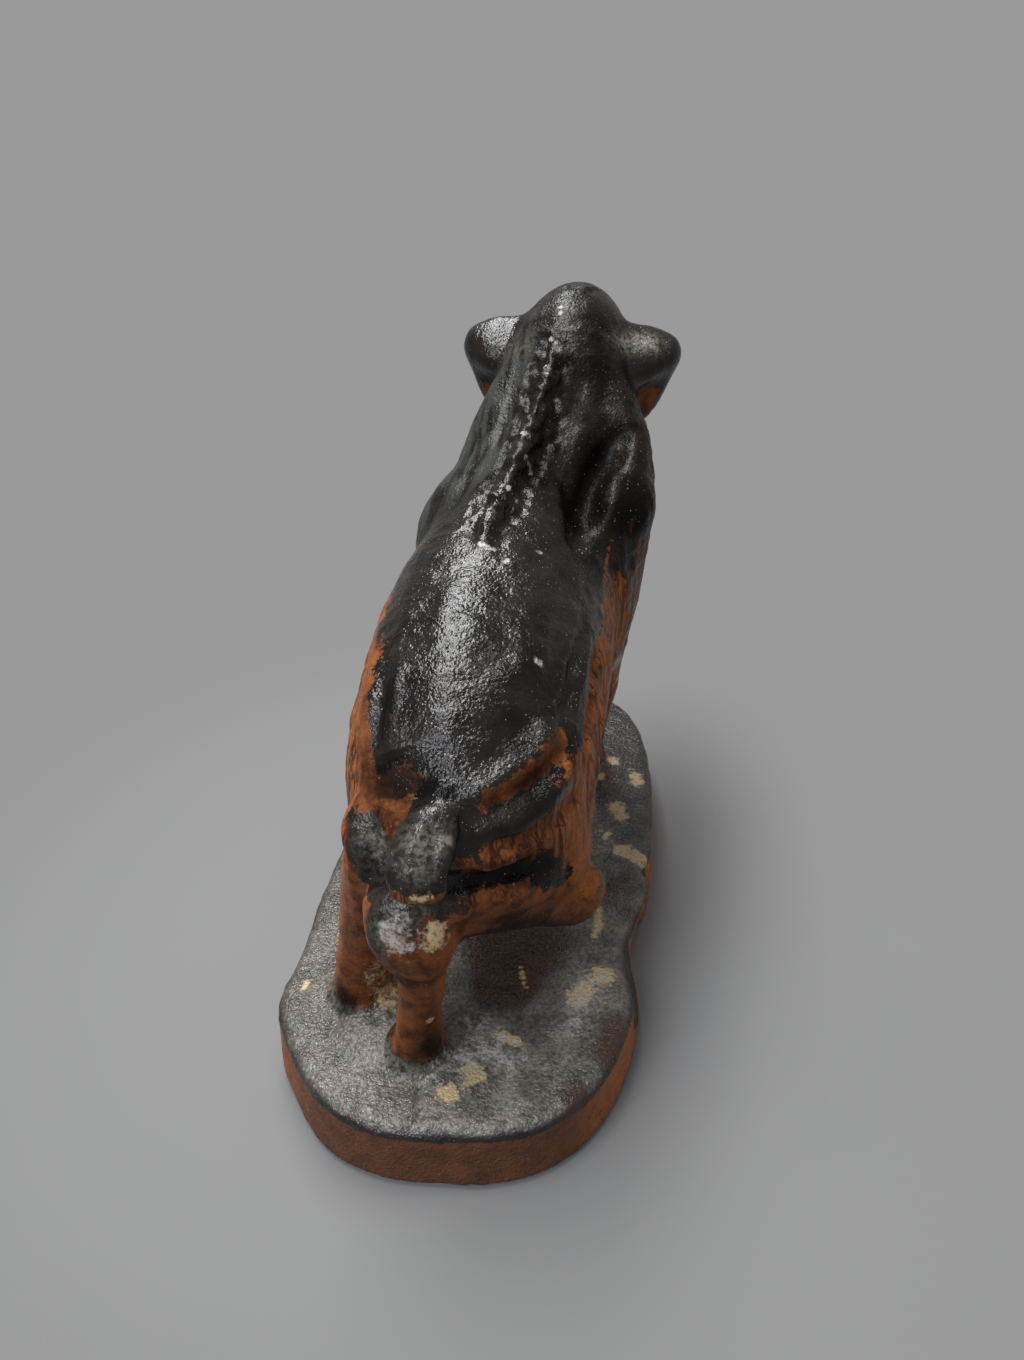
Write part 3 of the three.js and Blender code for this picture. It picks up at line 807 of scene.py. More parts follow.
# Deep hollows drawn on the photograph: radius, depth, softness of the edge, line
HOLLOWS = [
    (4.6, 4.4, 4.5, [(618, 436), (604, 458), (592, 482), (584, 508), (580, 540)]),
    (2.2, 2.0, 2.5, [(452, 884), (480, 880), (512, 873), (545, 862)]),
]

half_length = PLINTH_LENGTH / 2
clay_low = (-44, -half_length - 3, -1.5)
clay_high = (44, half_length + 3, 149)
clay = Clay(clay_low, clay_high, CELL)
torso_low = np.array([-34, TORSO_SECTIONS[0][0], 26]) + BOAR
torso_high = np.array([32, TORSO_SECTIONS[-1][0], 130]) + BOAR
clay.add(torso_low, torso_high, torso_distance(CELL), TORSO_JOIN)
for run in RUNS:
    add_run(clay, *run)
plinth_low = (-half_length, -half_length, PLINTH_BOTTOM)
plinth_high = (half_length, half_length, PLINTH_TOP + 6)
clay.add(plinth_low, plinth_high, plinth_distance, PLINTH_JOIN)
mound_x, mound_y, mound_reach, mound_height = MOUND
add_lump(clay, (mound_x, mound_y, 0), (mound_reach, mound_reach, mound_height), MOUND_JOIN)
rubble_seed = np.random.default_rng(7)
for _ in range(RUBBLE_STONES):
    spread = rubble_seed.normal(0, 1, 2) * RUBBLE_SPREAD
    size = rubble_seed.uniform(*RUBBLE_SIZE, 3)
    height = max(RUBBLE_LEAST, RUBBLE_PEAK - RUBBLE_SLOPE * np.abs(spread).sum())
    height *= rubble_seed.uniform(*RUBBLE_HEIGHTS)
    add_lump(clay, (*(RUBBLE_PLACE + spread), height), size, RUBBLE_JOIN)

add_lump(clay, SNOUT_TIP, SNOUT_DISC, SNOUT_JOIN, SNOUT_AXES)
for side in (-1, 1):
    nostril = SNOUT_TIP + SNOUT_WAY * NOSTRIL_AHEAD + X_AXIS * side * NOSTRIL_ASIDE
    carve_lump(clay, nostril, NOSTRIL, NOSTRIL_JOIN, SNOUT_AXES)
    add_lump(clay, (FACE_MIDDLE + side * CHEEK_ASIDE, *CHEEK_PLACE), CHEEK, CHEEK_JOIN)
for place in EYES.values():
    side = math.copysign(1, place[0] - FACE_MIDDLE)
    outward = np.array([side, 1, 1])
    add_lump(clay, place + outward * BROW_SHIFT, BROW, BROW_JOIN)
    carve_lump(clay, place + outward * SOCKET_SHIFT, EYE_SOCKET, SOCKET_JOIN)
    add_lump(clay, (LIP_MIDDLE + side * LIP_ASIDE, *LIP_PLACE), LIP, LIP_JOIN)

first_points, first_quads = clay.skin()
first_tree = BVHTree.FromPolygons(first_points.tolist(), first_quads.tolist())
for hollow in HOLLOWS:
    carve_drawn(clay, first_tree, *hollow)

points, quads = clay.skin()
skin_tree = BVHTree.FromPolygons(points.tolist(), quads.tolist())


def on_skin(strokes):
    """Strokes drawn on the photograph, as places on the skin: width, amount, places."""
    return [(width, amount, drawn_line(skin_tree, "photo", line, PHOTO_STEP))
            for width, amount, line in strokes]


drawn_folds = on_skin(FOLDS)
drawn_folds += [(width, height, drawn_line(skin_tree, view, line, SIDE_STEP))
                for view, width, height, line in HIDDEN_FOLDS]

crest_rows = placed(CREST_RUN)[::-1]
NECK_TURN = math.radians(-25)

# Where each zone of the figure fades in, in the boar's own millimetres: RISE is upwards, AHEAD is
# along Y, ASIDE is along X, FACING is how far the skin faces up
BODY_RISE = (1.5, 4)
TOP_FACING = (0.5, 0.85)
WALL_FACING = (0.3, 0.6)
WALL_RISE = (-15.5, -14)
NECK_AHEAD = (-2, -14)
NECK_RISE = (70, 84)
LEFT_NECK_ASIDE = (3.5, 6)
RIGHT_NECK_ASIDE = (-3, -6)
NECK_START = (-54, -50)
EAR_MIDDLE = -10
EAR_ASIDE = (12, 14.5)
EAR_AHEAD = (-46, -50)
EAR_RISE = (96, 99)
DOME_AHEAD = (-46, -52)
DOME_RISE = (108, 114)
CREST_WIDTH = (4.6, 6.6)
CREST_FACING = (-0.1, 0.3)
CREST_AHEAD = (14, 2)
VALLEY_START = (5.6, 7)
VALLEY_END = (8, 10)
FLANK_FACING = (0.25, 0.6)
FLANK_RISE = (18, 34)
FORE_AHEAD = (4, -12)
FORE_RISE = (50, 62)
BACK_FACING = (0.45, 0.8)
BACK_BEHIND = (-6, 8)


def zones(points, facing):
    """Shares from 0 to 1 that say where on the figure each point lies."""
    x, y, z = (points - BOAR).T
    upward = facing[:, 2]
    gap = np.min(np.linalg.norm(points[:, None, :] - crest_rows[None, :, :3], axis=2), 1)
    aside = points[:, 0] - np.interp(points[:, 1], crest_rows[:, 1], crest_rows[:, 0])
    body = smooth(*BODY_RISE, z)
    neck = body * smooth(*NECK_AHEAD, y) * smooth(*NECK_RISE, z)
    ear = smooth(*EAR_ASIDE, np.abs(x - EAR_MIDDLE)) * smooth(*EAR_AHEAD, y) * smooth(*EAR_RISE, z)
    dome = smooth(*DOME_AHEAD, y) * smooth(*DOME_RISE, z)
    crest = smooth(*CREST_FACING, upward) * smooth(*CREST_AHEAD, y)
    return {
        "plinth": 1 - body,
        "plinth_top": (1 - body) * smooth(*TOP_FACING, upward),
        "wall": (1 - body) * (1 - smooth(*WALL_FACING, upward)) * smooth(*WALL_RISE, z),
        "body": body,
        "crest": body * (1 - smooth(*CREST_WIDTH, gap)) * crest,
        "beside_crest": smooth(*VALLEY_START, gap) * (1 - smooth(*VALLEY_END, gap)) * neck * (1 - dome),
        "flank": body * (1 - smooth(*FLANK_FACING, np.abs(upward))) * smooth(*FLANK_RISE, z) * (1 - ear),
        "left_neck": neck * smooth(*LEFT_NECK_ASIDE, aside) * (1 - ear) * smooth(*NECK_START, y),
        "right_neck": neck * smooth(*RIGHT_NECK_ASIDE, aside) * (1 - ear) * smooth(*NECK_START, y),
        "smooth": np.maximum(ear, dome),
        "fore": body * smooth(*FORE_AHEAD, y) * smooth(*FORE_RISE, z) * (1 - ear),
    }


# Lumps of the skin in layers: height, size (or one size for each axis) and which noise
HIDE = [(0.2, 5.5, 0), (0.15, 2.6, 1), (0.1, 1.5, 2)]
FLANK_STREAKS = [(0.204, (1.7, 1.9, 17), 1), (0.136, (1.4, 1.5, 11), 3)]
RIGHT_NECK_FACETS = [(0.8, (4.5, 11, 6), 2)]
LEFT_NECK_STREAKS = [(0.35, (4, 22, 4), 3)]
CREST_TUFTS = [(0.9, 2.3, 3), (0.45, 1.3, 0)]
BACK_RIPPLES = [(0.08, (5, 1.6, 1.6), 2)]
GROUND_GRAIN = [(0.3, 9, 1), (0.2, 3.2, 2), (0.1, 1.6, 0)]
WALL_GRAIN = [(0.3, (6, 6, 9), 0), (0.12, 2.2, 1)]
CREST_VALLEY = 0.4
PLINTH_HIDE = 0.3
CALM = 0.75


def relief(points, facing):
    """How far each point of the skin moves outwards, in millimetres."""
    where = zones(points, facing)
    x, y, z = (points - BOAR).T
    calm = 1 - CALM * np.maximum(where["smooth"], where["left_neck"])
    height = layered(points, HIDE) * (where["body"] + PLINTH_HIDE * where["plinth"]) * calm
    height += where["flank"] * layered(points, FLANK_STREAKS)
    ahead = y * math.cos(NECK_TURN) + z * math.sin(NECK_TURN)
    along_neck = np.stack([x, ahead, z * math.cos(NECK_TURN) - y * math.sin(NECK_TURN)], 1)
    height += where["right_neck"] * layered(along_neck, RIGHT_NECK_FACETS)
    height += where["left_neck"] * layered(along_neck, LEFT_NECK_STREAKS)
    height += where["crest"] * layered(points, CREST_TUFTS)
    height -= where["beside_crest"] * CREST_VALLEY
    back = where["body"] * smooth(*BACK_FACING, facing[:, 2]) * smooth(*BACK_BEHIND, y)
    height += back * layered(points, BACK_RIPPLES)
    height += where["plinth_top"] * layered(points, GROUND_GRAIN)
    height += where["wall"] * layered(points, WALL_GRAIN)
    return height + brushed(points, facing, drawn_folds)


# How far apart two points lie that give the skin's facing: for its shape, and for its finish
SHAPE_REACH = 1.2
FINISH_REACH = 1.6
facing = clay.normals(points, SHAPE_REACH)
points = points + facing * relief(points, facing)[:, None]
CLEARANCE = 0.05
low_corner, high_corner = (np.array(corner) / MM for corner in cad_box)
points = np.clip(points, low_corner + CLEARANCE, high_corner - CLEARANCE)


def build_mesh(name, points, faces):
    """A mesh in metres from points in millimetres."""
    mesh = bpy.data.meshes.new(name)
    mesh.vertices.add(len(points))
    mesh.vertices.foreach_set("co", (np.asarray(points, np.float64) * MM).astype(np.float32).ravel())
    faces = np.asarray(faces)
    sides = faces.shape[1]
    mesh.loops.add(faces.size)
    mesh.loops.foreach_set("vertex_index", faces.astype(np.int32).ravel())
    mesh.polygons.add(len(faces))
    mesh.polygons.foreach_set("loop_start", np.arange(0, faces.size, sides, dtype=np.int32))
    mesh.update(calc_edges=True)
    mesh.validate()
    return mesh


def build_object(name, points, faces):
    piece = bpy.data.objects.new(name, build_mesh(name, points, faces))
    bpy.context.scene.collection.objects.link(piece)
    return piece


def run_loft(rows, reference=X_AXIS, facing=None, sides=40, dome=5):
    """A closed, rounded loft through the rows, as points and faces."""
    rings = []

    def ring(row, tangent, offset, shrink):
        side, up = section_axes(tangent, reference)
        centre = row[:3] + tangent * offset * min(row[3], row[4])
        angle = np.linspace(0, 2 * math.pi, sides, endpoint=False)[:, None]
        return centre + row[3] * shrink * np.cos(angle) * side + row[4] * shrink * np.sin(angle) * up

    steps = np.gradient(rows[:, :3], axis=0)
    tangents = [unit(t) if facing is None else facing for t in steps]
    bend = [(k / dome) * math.pi / 2 for k in range(1, dome)]
    for a in reversed(bend):
        rings.append(ring(rows[0], tangents[0], -math.sin(a), math.cos(a)))
    rings += [ring(row, tangent, 0, 1) for row, tangent in zip(rows, tangents)]
    for a in bend:
        rings.append(ring(rows[-1], tangents[-1], math.sin(a), math.cos(a)))
    return closed_rings(rings)


def closed_rings(rings):
    """Points and faces of a closed skin over rings of the same count, with a hub in each end."""
    sides = len(rings[0])
    points = np.vstack([*rings, [rings[0].mean(0)], [rings[-1].mean(0)]])
    last = (len(rings) - 1) * sides
    start_hub, end_hub = len(points) - 2, len(points) - 1
    faces = []
    for s in range(sides):
        n = (s + 1) % sides
        for r in range(len(rings) - 1):
            a, b = r * sides + s, r * sides + n
            faces += [(a, b, b + sides), (a, b + sides, a + sides)]
        faces += [(start_hub, n, s), (end_hub, last + s, last + n)]
    return points, np.array(faces)


def turned(profile, centre, axis, sides=48):
    """Points and faces of a turned shape: radius and height pairs along an axis."""
    side = unit(np.cross(axis, Z_AXIS))
    up = np.cross(axis, side)
    angle = np.linspace(0, 2 * math.pi, sides, endpoint=False)[:, None]
    around = np.cos(angle) * side + np.sin(angle) * up
    return closed_rings([centre + axis * height + radius * around for radius, height in profile])


def mark_cut(mesh):
    """Note that these faces only cut, so that the edges they leave can be kept sharp."""
    layer = mesh.attributes.new("cut", "BOOLEAN", "FACE")
    layer.data.foreach_set("value", np.ones(len(mesh.polygons), bool))


def sharpen_cuts(mesh):
    """Keep the edges between the skin and the cuts through it sharp, so that no cut shades the skin."""
    cut = np.empty(len(mesh.polygons), bool)
    mesh.attributes["cut"].data.foreach_get("value", cut)
    corners = np.empty(len(mesh.polygons), np.int32)
    mesh.polygons.foreach_get("loop_total", corners)
    edge = np.empty(len(mesh.loops), np.int32)
    mesh.loops.foreach_get("edge_index", edge)
    cut_sides = np.bincount(edge, np.repeat(cut, corners), len(mesh.edges))
    all_sides = np.bincount(edge, None, len(mesh.edges))
    seam = (cut_sides > 0) & (cut_sides < all_sides)
    sharp = np.empty(len(mesh.edges), bool)
    layer = mesh.attributes.get("sharp_edge") or mesh.attributes.new("sharp_edge", "BOOLEAN", "EDGE")
    layer.data.foreach_get("value", sharp)
    layer.data.foreach_set("value", sharp | seam)


def region(name, *runs):
    """A closed solid that marks out one piece of the skin: the runs given, joined."""
    made = []
    for rows, reference, facing in runs:
        shape = build_object(name, *run_loft(rows, reference, facing))
        face_out(shape.data)
        mark_cut(shape.data)
        made.append(shape)
    if len(made) == 1:
        return made[0]
    whole = reshaped(name, made[0], [("UNION", other) for other in made[1:]])
    for shape in made:
        bpy.data.objects.remove(shape)
    return whole


def face_out(mesh):
    work = bmesh.new()
    work.from_mesh(mesh)
    bmesh.ops.recalc_face_normals(work, faces=work.faces)
    work.to_mesh(mesh)
    work.free()


def half_space(name, point, facing):
    """A large block on the far side of a plane, in the frame's millimetres."""
    size = 400.0
    facing = unit(np.array(facing, float))
    side = unit(np.cross(facing, X_AXIS if abs(facing[0]) < 0.9 else Z_AXIS))
    other = np.cross(facing, side)
    corners = [point + size * (a * side + b * other + c * facing)
               for c in (0, 1) for a, b in ((-1, -1), (1, -1), (1, 1), (-1, 1))]
    faces = [(3, 2, 1, 0), (4, 5, 6, 7), (0, 1, 5, 4), (1, 2, 6, 5), (2, 3, 7, 6), (3, 0, 4, 7)]
    block = build_object(name, corners, faces)
    face_out(block.data)
    mark_cut(block.data)
    return block


def reshaped(name, base, cuts):
    """A new object: base joined with, cut by or kept within others."""
    work = bpy.data.objects.new(name, base.data)
    bpy.context.scene.collection.objects.link(work)
    for operation, other in cuts:
        modifier = work.modifiers.new(operation, "BOOLEAN")
        modifier.solver = "MANIFOLD"
        modifier.operation = operation
        modifier.object = other
    graph = bpy.context.evaluated_depsgraph_get()
    mesh = bpy.data.meshes.new_from_object(work.evaluated_get(graph))
    bpy.data.objects.remove(work)
    result = bpy.data.objects.new(name, mesh)
    bpy.context.scene.collection.objects.link(result)
    return result


# Worn places drawn on the photograph, tan where the core shows and then pale; a few pale smears on the
# ground are partly painted light: width, amount, line
WORN = [
    (2.2, 1.0, [(611, 851), (625, 851), (640, 859), (648, 864)]),
    (1.1, 0.8, [(600, 905), (598, 925), (594, 942)]),
    (2.4, 0.8, [(600, 965), (604, 985)]),
    (2.4, 0.8, [(592, 984), (580, 996), (566, 1000)]),
    (1.2, 1.1, [(496, 1033), (508, 1038), (521, 1045)]),
    (0.6, 0.8, [(520, 962), (523, 978), (527, 993)]),
    (2.2, 0.85, [(463, 1063), (474, 1074), (480, 1085)]),
    (2.0, 0.9, [(438, 1098), (448, 1093), (459, 1090)]),
    (0.9, 0.7, [(467, 1018)]),
    (1.6, 0.7, [(300, 985), (312, 986)]),
    (2.0, 0.8, [(613, 762)]),
    (2.0, 0.8, [(632, 770), (640, 788)]),
    (1.6, 0.7, [(600, 776)]),
    (2.4, 0.7, [(612, 800), (625, 822)]),
    (2.0, 0.7, [(601, 832), (612, 838)]),
    (1.0, 0.9, [(430, 1014), (430, 1026)]),
    (2.2, 0.9, [(431, 920), (436, 938), (436, 955)]),
    (1.0, 0.8, [(406, 897), (420, 901), (436, 896)]),
    (2.8, 0.5, [(372, 958), (380, 985), (385, 1008)]),
    (2.6, 0.42, [(395, 985), (396, 1008)]),
]
PALE = [
    (4.8, 0.55, [(388, 914), (398, 938), (410, 958)]),
    # These two broad smears partly paint light over the shade on the ground, partly pale wear
    (6.5, 0.4, [(455, 1010), (490, 1045), (530, 1075)]),
    (6.0, 0.4, [(560, 1045), (580, 1005), (600, 965)]),
    (5.0, 0.36, [(420, 1085), (450, 1070), (480, 1060)]),
    (0.7, 1.0, [(562, 300), (560, 318)]),
    (0.6, 1.0, [(551, 338), (556, 341)]),
    (0.6, 1.0, [(544, 366), (547, 374)]),
    (0.6, 0.9, [(530, 430), (537, 440)]),
    (0.8, 1.0, [(524, 433), (531, 437)]),
    (0.7, 1.0, [(522, 452), (528, 464), (532, 478)]),
    (0.8, 1.1, [(506, 483), (512, 492)]),
    (0.6, 0.9, [(513, 495), (519, 507)]),
    (1.2, 0.7, [(482, 502), (490, 512)]),
    (0.8, 0.75, [(476, 543), (488, 548), (500, 551)]),
    (0.9, 0.8, [(505, 556), (508, 566)]),
    (0.9, 0.8, [(534, 547), (546, 554)]),
    (0.8, 0.7, [(536, 660), (541, 664)]),
]
drawn_worn = on_skin(WORN)
drawn_pale = on_skin(PALE)

# Brown strokes (painted warm reflection, partly a brown patina), black patches, strokes of painted shade,
# and dust strokes that also paint highlights and sheen, drawn on the photograph: width, amount, line
# Brown strokes: painted warm reflection, partly a brown patina
WARM_REFLECTION_AND_PATINA_STROKES = [
    (2.0, 0.9, [(642, 498), (636, 520), (628, 536)]),
    (2.6, 1.0, [(617, 600), (622, 625), (618, 650)]),
    (1.2, 0.9, [(609, 500), (612, 540), (604, 572), (600, 600)]),
    (3.0, 1.0, [(472, 814), (505, 797), (540, 766), (566, 725)]),
    (3.6, 1.0, [(478, 862), (520, 850), (556, 832), (582, 800)]),
    (4.0, 1.0, [(470, 905), (530, 905), (575, 895)]),
    (4.5, 1.0, [(588, 740), (588, 820), (590, 880)]),
    (4.5, 1.0, [(380, 765), (398, 790), (410, 815)]),
    (3.4, 1.0, [(358, 770), (366, 795), (374, 812)]),
    (3.0, 0.8, [(372, 650), (365, 710), (362, 770)]),
    (3.0, 0.8, [(602, 640), (596, 700), (590, 760)]),
]
INKED = [
    (3.0, 1.0, [(488, 826), (515, 816), (538, 800)]),
    (3.0, 0.9, [(530, 876), (552, 884)]),
    (4.0, 1.0, [(375, 836), (378, 860), (380, 885)]),
    (2.4, 0.8, [(371, 905), (373, 940), (384, 966)]),
    (3.0, 0.7, [(378, 690), (380, 740), (378, 790)]),
    (2.2, 0.8, [(574, 862), (568, 885), (556, 902)]),
    (3.2, 0.8, [(534, 862), (556, 866), (560, 888)]),
    (4.2, 1.0, [(622, 545), (620, 572)]),
    (4.0, 1.0, [(600, 560), (592, 590)]),
    (1.6, 0.9, [(395, 650), (390, 700), (388, 760)]),
    (1.4, 0.9, [(588, 660), (578, 710), (566, 770)]),
    (2.4, 0.9, [(584, 715), (576, 750)]),
    (3.0, 1.0, [(620, 470), (618, 500), (612, 540)]),
    (3.0, 0.8, [(645, 500), (640, 520)]),
]
# Strokes of painted shade in hollows, grooves and under parts; some only darken the brown
SHADED_STROKES = [
    (3.0, 0.55, [(432, 1000), (434, 1030), (436, 1060)]),
    (3.0, 0.5, [(340, 985), (345, 1000), (360, 1004)]),
    (3.2, 0.6, [(560, 912), (530, 918), (500, 922)]),
    (3.0, 0.25, [(416, 1000), (418, 1060)]),
    (5.0, 0.45, [(374, 760), (368, 800)]),
    (4.5, 0.62, [(388, 770), (398, 802)]),
    (4.0, 0.5, [(500, 796), (540, 768), (568, 726)]),
    (2.2, 0.9, [(408, 791), (432, 786), (458, 793)]),
    (7.0, 0.75, [(640, 465), (636, 505), (626, 545)]),
    (4.0, 1.0, [(612, 446), (602, 462), (592, 484), (585, 510), (580, 536)]),
    (1.8, 0.6, [(452, 884), (480, 880), (512, 873), (545, 862)]),
    (1.6, 0.6, [(574, 345), (566, 380), (556, 410)]),
    (2.0, 0.7, [(556, 470), (562, 500), (568, 520)]),
    (1.4, 0.7, [(470, 445), (452, 480), (436, 510)]),
    (1.4, 0.7, [(497, 425), (480, 455), (462, 485)]),
]
DUST_AND_SHEEN_STROKES = [
    (3.4, 0.9, [(428, 824), (420, 850), (408, 885)]),
    (2.0, 0.8, [(452, 835), (448, 850)]),
    # Painted sheen on the left hock's point, with dust
    (3.2, 1.3, [(370, 830), (376, 848), (376, 862)]),
    (3.6, 0.8, [(384, 915), (396, 955)]),
    (3.0, 0.7, [(412, 915), (432, 920)]),
    (2.4, 0.4, [(412, 1010), (414, 1050)]),
    # Painted highlights along the ears' upper rims
    (2.6, 1.1, [(614, 344), (640, 341), (662, 346)]),
    (3.0, 0.3, [(505, 345), (530, 350)]),
]
drawn_reflection_and_patina = on_skin(WARM_REFLECTION_AND_PATINA_STROKES)
drawn_inked = on_skin(INKED)
drawn_painted_shade = on_skin(SHADED_STROKES)
drawn_dust_and_sheen = on_skin(DUST_AND_SHEEN_STROKES)

# Places on the ground that lie in the dark: width, amount, line
SHADE = [
    (9.0, 1.0, [(458, 945), (490, 940), (530, 942), (572, 940)]),
    (8.0, 0.9, [(466, 985), (505, 985), (540, 1000)]),
    (5.0, 0.8, [(600, 1070), (616, 1040), (622, 1008)]),
    (5.0, 0.7, [(560, 1105), (590, 1090)]),
    (5.0, 0.8, [(606, 880), (622, 890)]),
    (6.0, 0.8, [(600, 720), (602, 750), (600, 800)]),
    (4.0, 0.9, [(418, 1040), (420, 1060)]),
]
drawn_shade = on_skin(SHADE)


# Where the finish changes, in the boar's own millimetres: upwards, along Y and along X
LOW_LEG = (50, 38)
FOOT = (14, 7)
FOOT_SHADE_RISE = (14, 5)
FOOT_EDGE = (0.6, 5.5)
FOOT_DUST = (5, 1)
BELLY = (22, 26)
BELLY_END = (48, 40)
EAR_UNDERSIDE = (108, 104.5)
TAIL_TIP = (55.5, 53)
STREAKED_FLANK = (42, 52)
RIM = (0.2, 1.2)
WALL_TOP = (0, -2)
RIGHT_SIDE = (6, -6)
FOREQUARTERS = (-2, -16)
UPPER_FORE = (14, 2)
UPPER_FORE_RISE = (78, 86)
# The ground's dust and painted sheen grow towards the near end and thin out on the left, where the lamp's
# own sheen falls
NEAR_END_SHEEN = (-45, 50)
LEFT_LESS_SHEEN = (12, 26)
FOOT_SHADE = 0.35
LEG_DUST = 0.85
PLINTH_WEAR = 1.4
# Share of painted warm reflection, partly a brown patina, on the ears' undersides
EAR_BROWN = 0.85


def brown_share(points, facing):
    """How brown each point of the boar is: where it faces aside or down, and on its legs. The brown is
    painted warm reflection, partly a brown patina.
    """
    x, y, z = (points - BOAR).T
    patches = lumps(points, 7, 0)
    strokes = lumps(points, (2.2, 2.2, 16), 1)
    upward = facing[:, 2] + 0.12 * patches + 0.08 * strokes
    aside = np.abs(facing[:, 0]) + 0.16 * strokes + 0.1 * patches
    right_side = smooth(*RIGHT_SIDE, x)
    steep = 1 - smooth(0.34 - 0.2 * right_side, 0.74 - 0.26 * right_side, upward)
    steep = np.maximum(steep, smooth(*FOOT, z))
    brown = steep * np.clip(0.1 + 0.9 * smooth(0.3, 0.72, aside) + 0.75 * smooth(*LOW_LEG, z), 0, 1)
    brown *= 1 - 0.6 * smooth(*FOREQUARTERS, y) * smooth(-0.25, 0.25, lumps(points, 9, 2) + 0.2)
    brown *= 1 - smooth(*UPPER_FORE, y) * smooth(*UPPER_FORE_RISE, z)
    brown += brushed(points, facing, drawn_reflection_and_patina) - brushed(points, facing, drawn_inked)
    return np.clip(brown, 0, 1) * smooth(*FOOT_EDGE, z)


def finish_masks(node, points, facing):
    """How brown (painted warm reflection, partly a brown patina), how warm at the edges (painted warm
    reflection), worn, pale, darkened by painted shade, satin and shaded each point of the lacquer is.
    """
    where = zones(points, facing)
    x, y, z = (points - BOAR).T
    upward = facing[:, 2]
    aside = np.abs(facing[:, 0])
    patches = lumps(points, 7, 0)
    worn = brushed(points, facing, drawn_worn)
    inked = brushed(points, facing, drawn_inked)
    dust_and_sheen = brushed(points, facing, drawn_dust_and_sheen)
    # Painted shade: the feet darken towards the ground
    foot = FOOT_SHADE * smooth(*FOOT_SHADE_RISE, z)
    # Below, brown on steep, low and downward faces is painted warm reflection, partly a brown patina; the
    # warm edge colour is painted reflection, strongest where the skin faces aside
    if node == "plinth":
        rim = smooth(*RIM, z) * smooth(0.9, 0.7, upward)
        brown = np.maximum(smooth(0.25, 0.05, upward) * smooth(*WALL_TOP, z), 0.35 * rim)
        orange = smooth(0.6, 0.97, aside) * where["plinth"]
        foot = 0
        worn *= PLINTH_WEAR
    elif node.startswith("ear"):
        brown = EAR_BROWN * smooth(*EAR_UNDERSIDE, z + 1.2 * patches)
        orange = np.zeros(len(points))
    elif node == "tail":
        brown = smooth(0.45, 0.15, upward) * smooth(*TAIL_TIP, z)
        orange = 0.2 * brown
        dust_and_sheen *= smooth(0.1, 0.5, upward)
    else:
        brown = brown_share(points, facing)
        orange = smooth(0.62, 0.97, aside) * (0.75 + 0.25 * patches)
    if "leg" in node:
        dust_and_sheen += LEG_DUST * smooth(*FOOT_DUST, z)
    # Painted shade in the grooves of the folds and under the belly
    grooves = 0.6 * smooth(0.35, 1.4, -brushed(points, facing, drawn_folds))
    under = smooth(-0.1, -0.7, upward) * smooth(*BELLY, z) * smooth(*BELLY_END, z)
    satin = 0.75 * where["fore"] + 0.5 * where["right_neck"] + 0.9 * where["left_neck"] + inked
    masks = {
        "dust_and_sheen": dust_and_sheen,
        "brown": brown,
        "orange": orange,
        "worn": worn,
        "pale": brushed(points, facing, drawn_pale),
        "soot": np.clip(grooves + under + foot + brushed(points, facing, drawn_painted_shade), 0, 1),
        "moss": where["left_neck"] * smooth(0.1, 0.4, facing[:, 0]),
        "satin": np.clip(satin, 0, 1),
        "streak": where["flank"] * smooth(*STREAKED_FLANK, z),
    }
    if node == "plinth":
        masks["shade"] = np.clip(brushed(points, facing, drawn_shade), 0, 1)
        # Dust with a painted sheen on the open ground, lighter towards the near end and less on the left
        # where the lamp's own sheen falls
        open_top = smooth(0.25, 0.85, upward + 0.12 * lumps(points, 3.5, 2))
        open_top = np.maximum(open_top, 0.6 * smooth(-0.5, 0.8, z))
        near = 0.1 + 0.9 * smooth(*NEAR_END_SHEEN, y)
        masks["near"] = near * (1 - 0.45 * smooth(*LEFT_LESS_SHEEN, x)) * open_top
    return masks


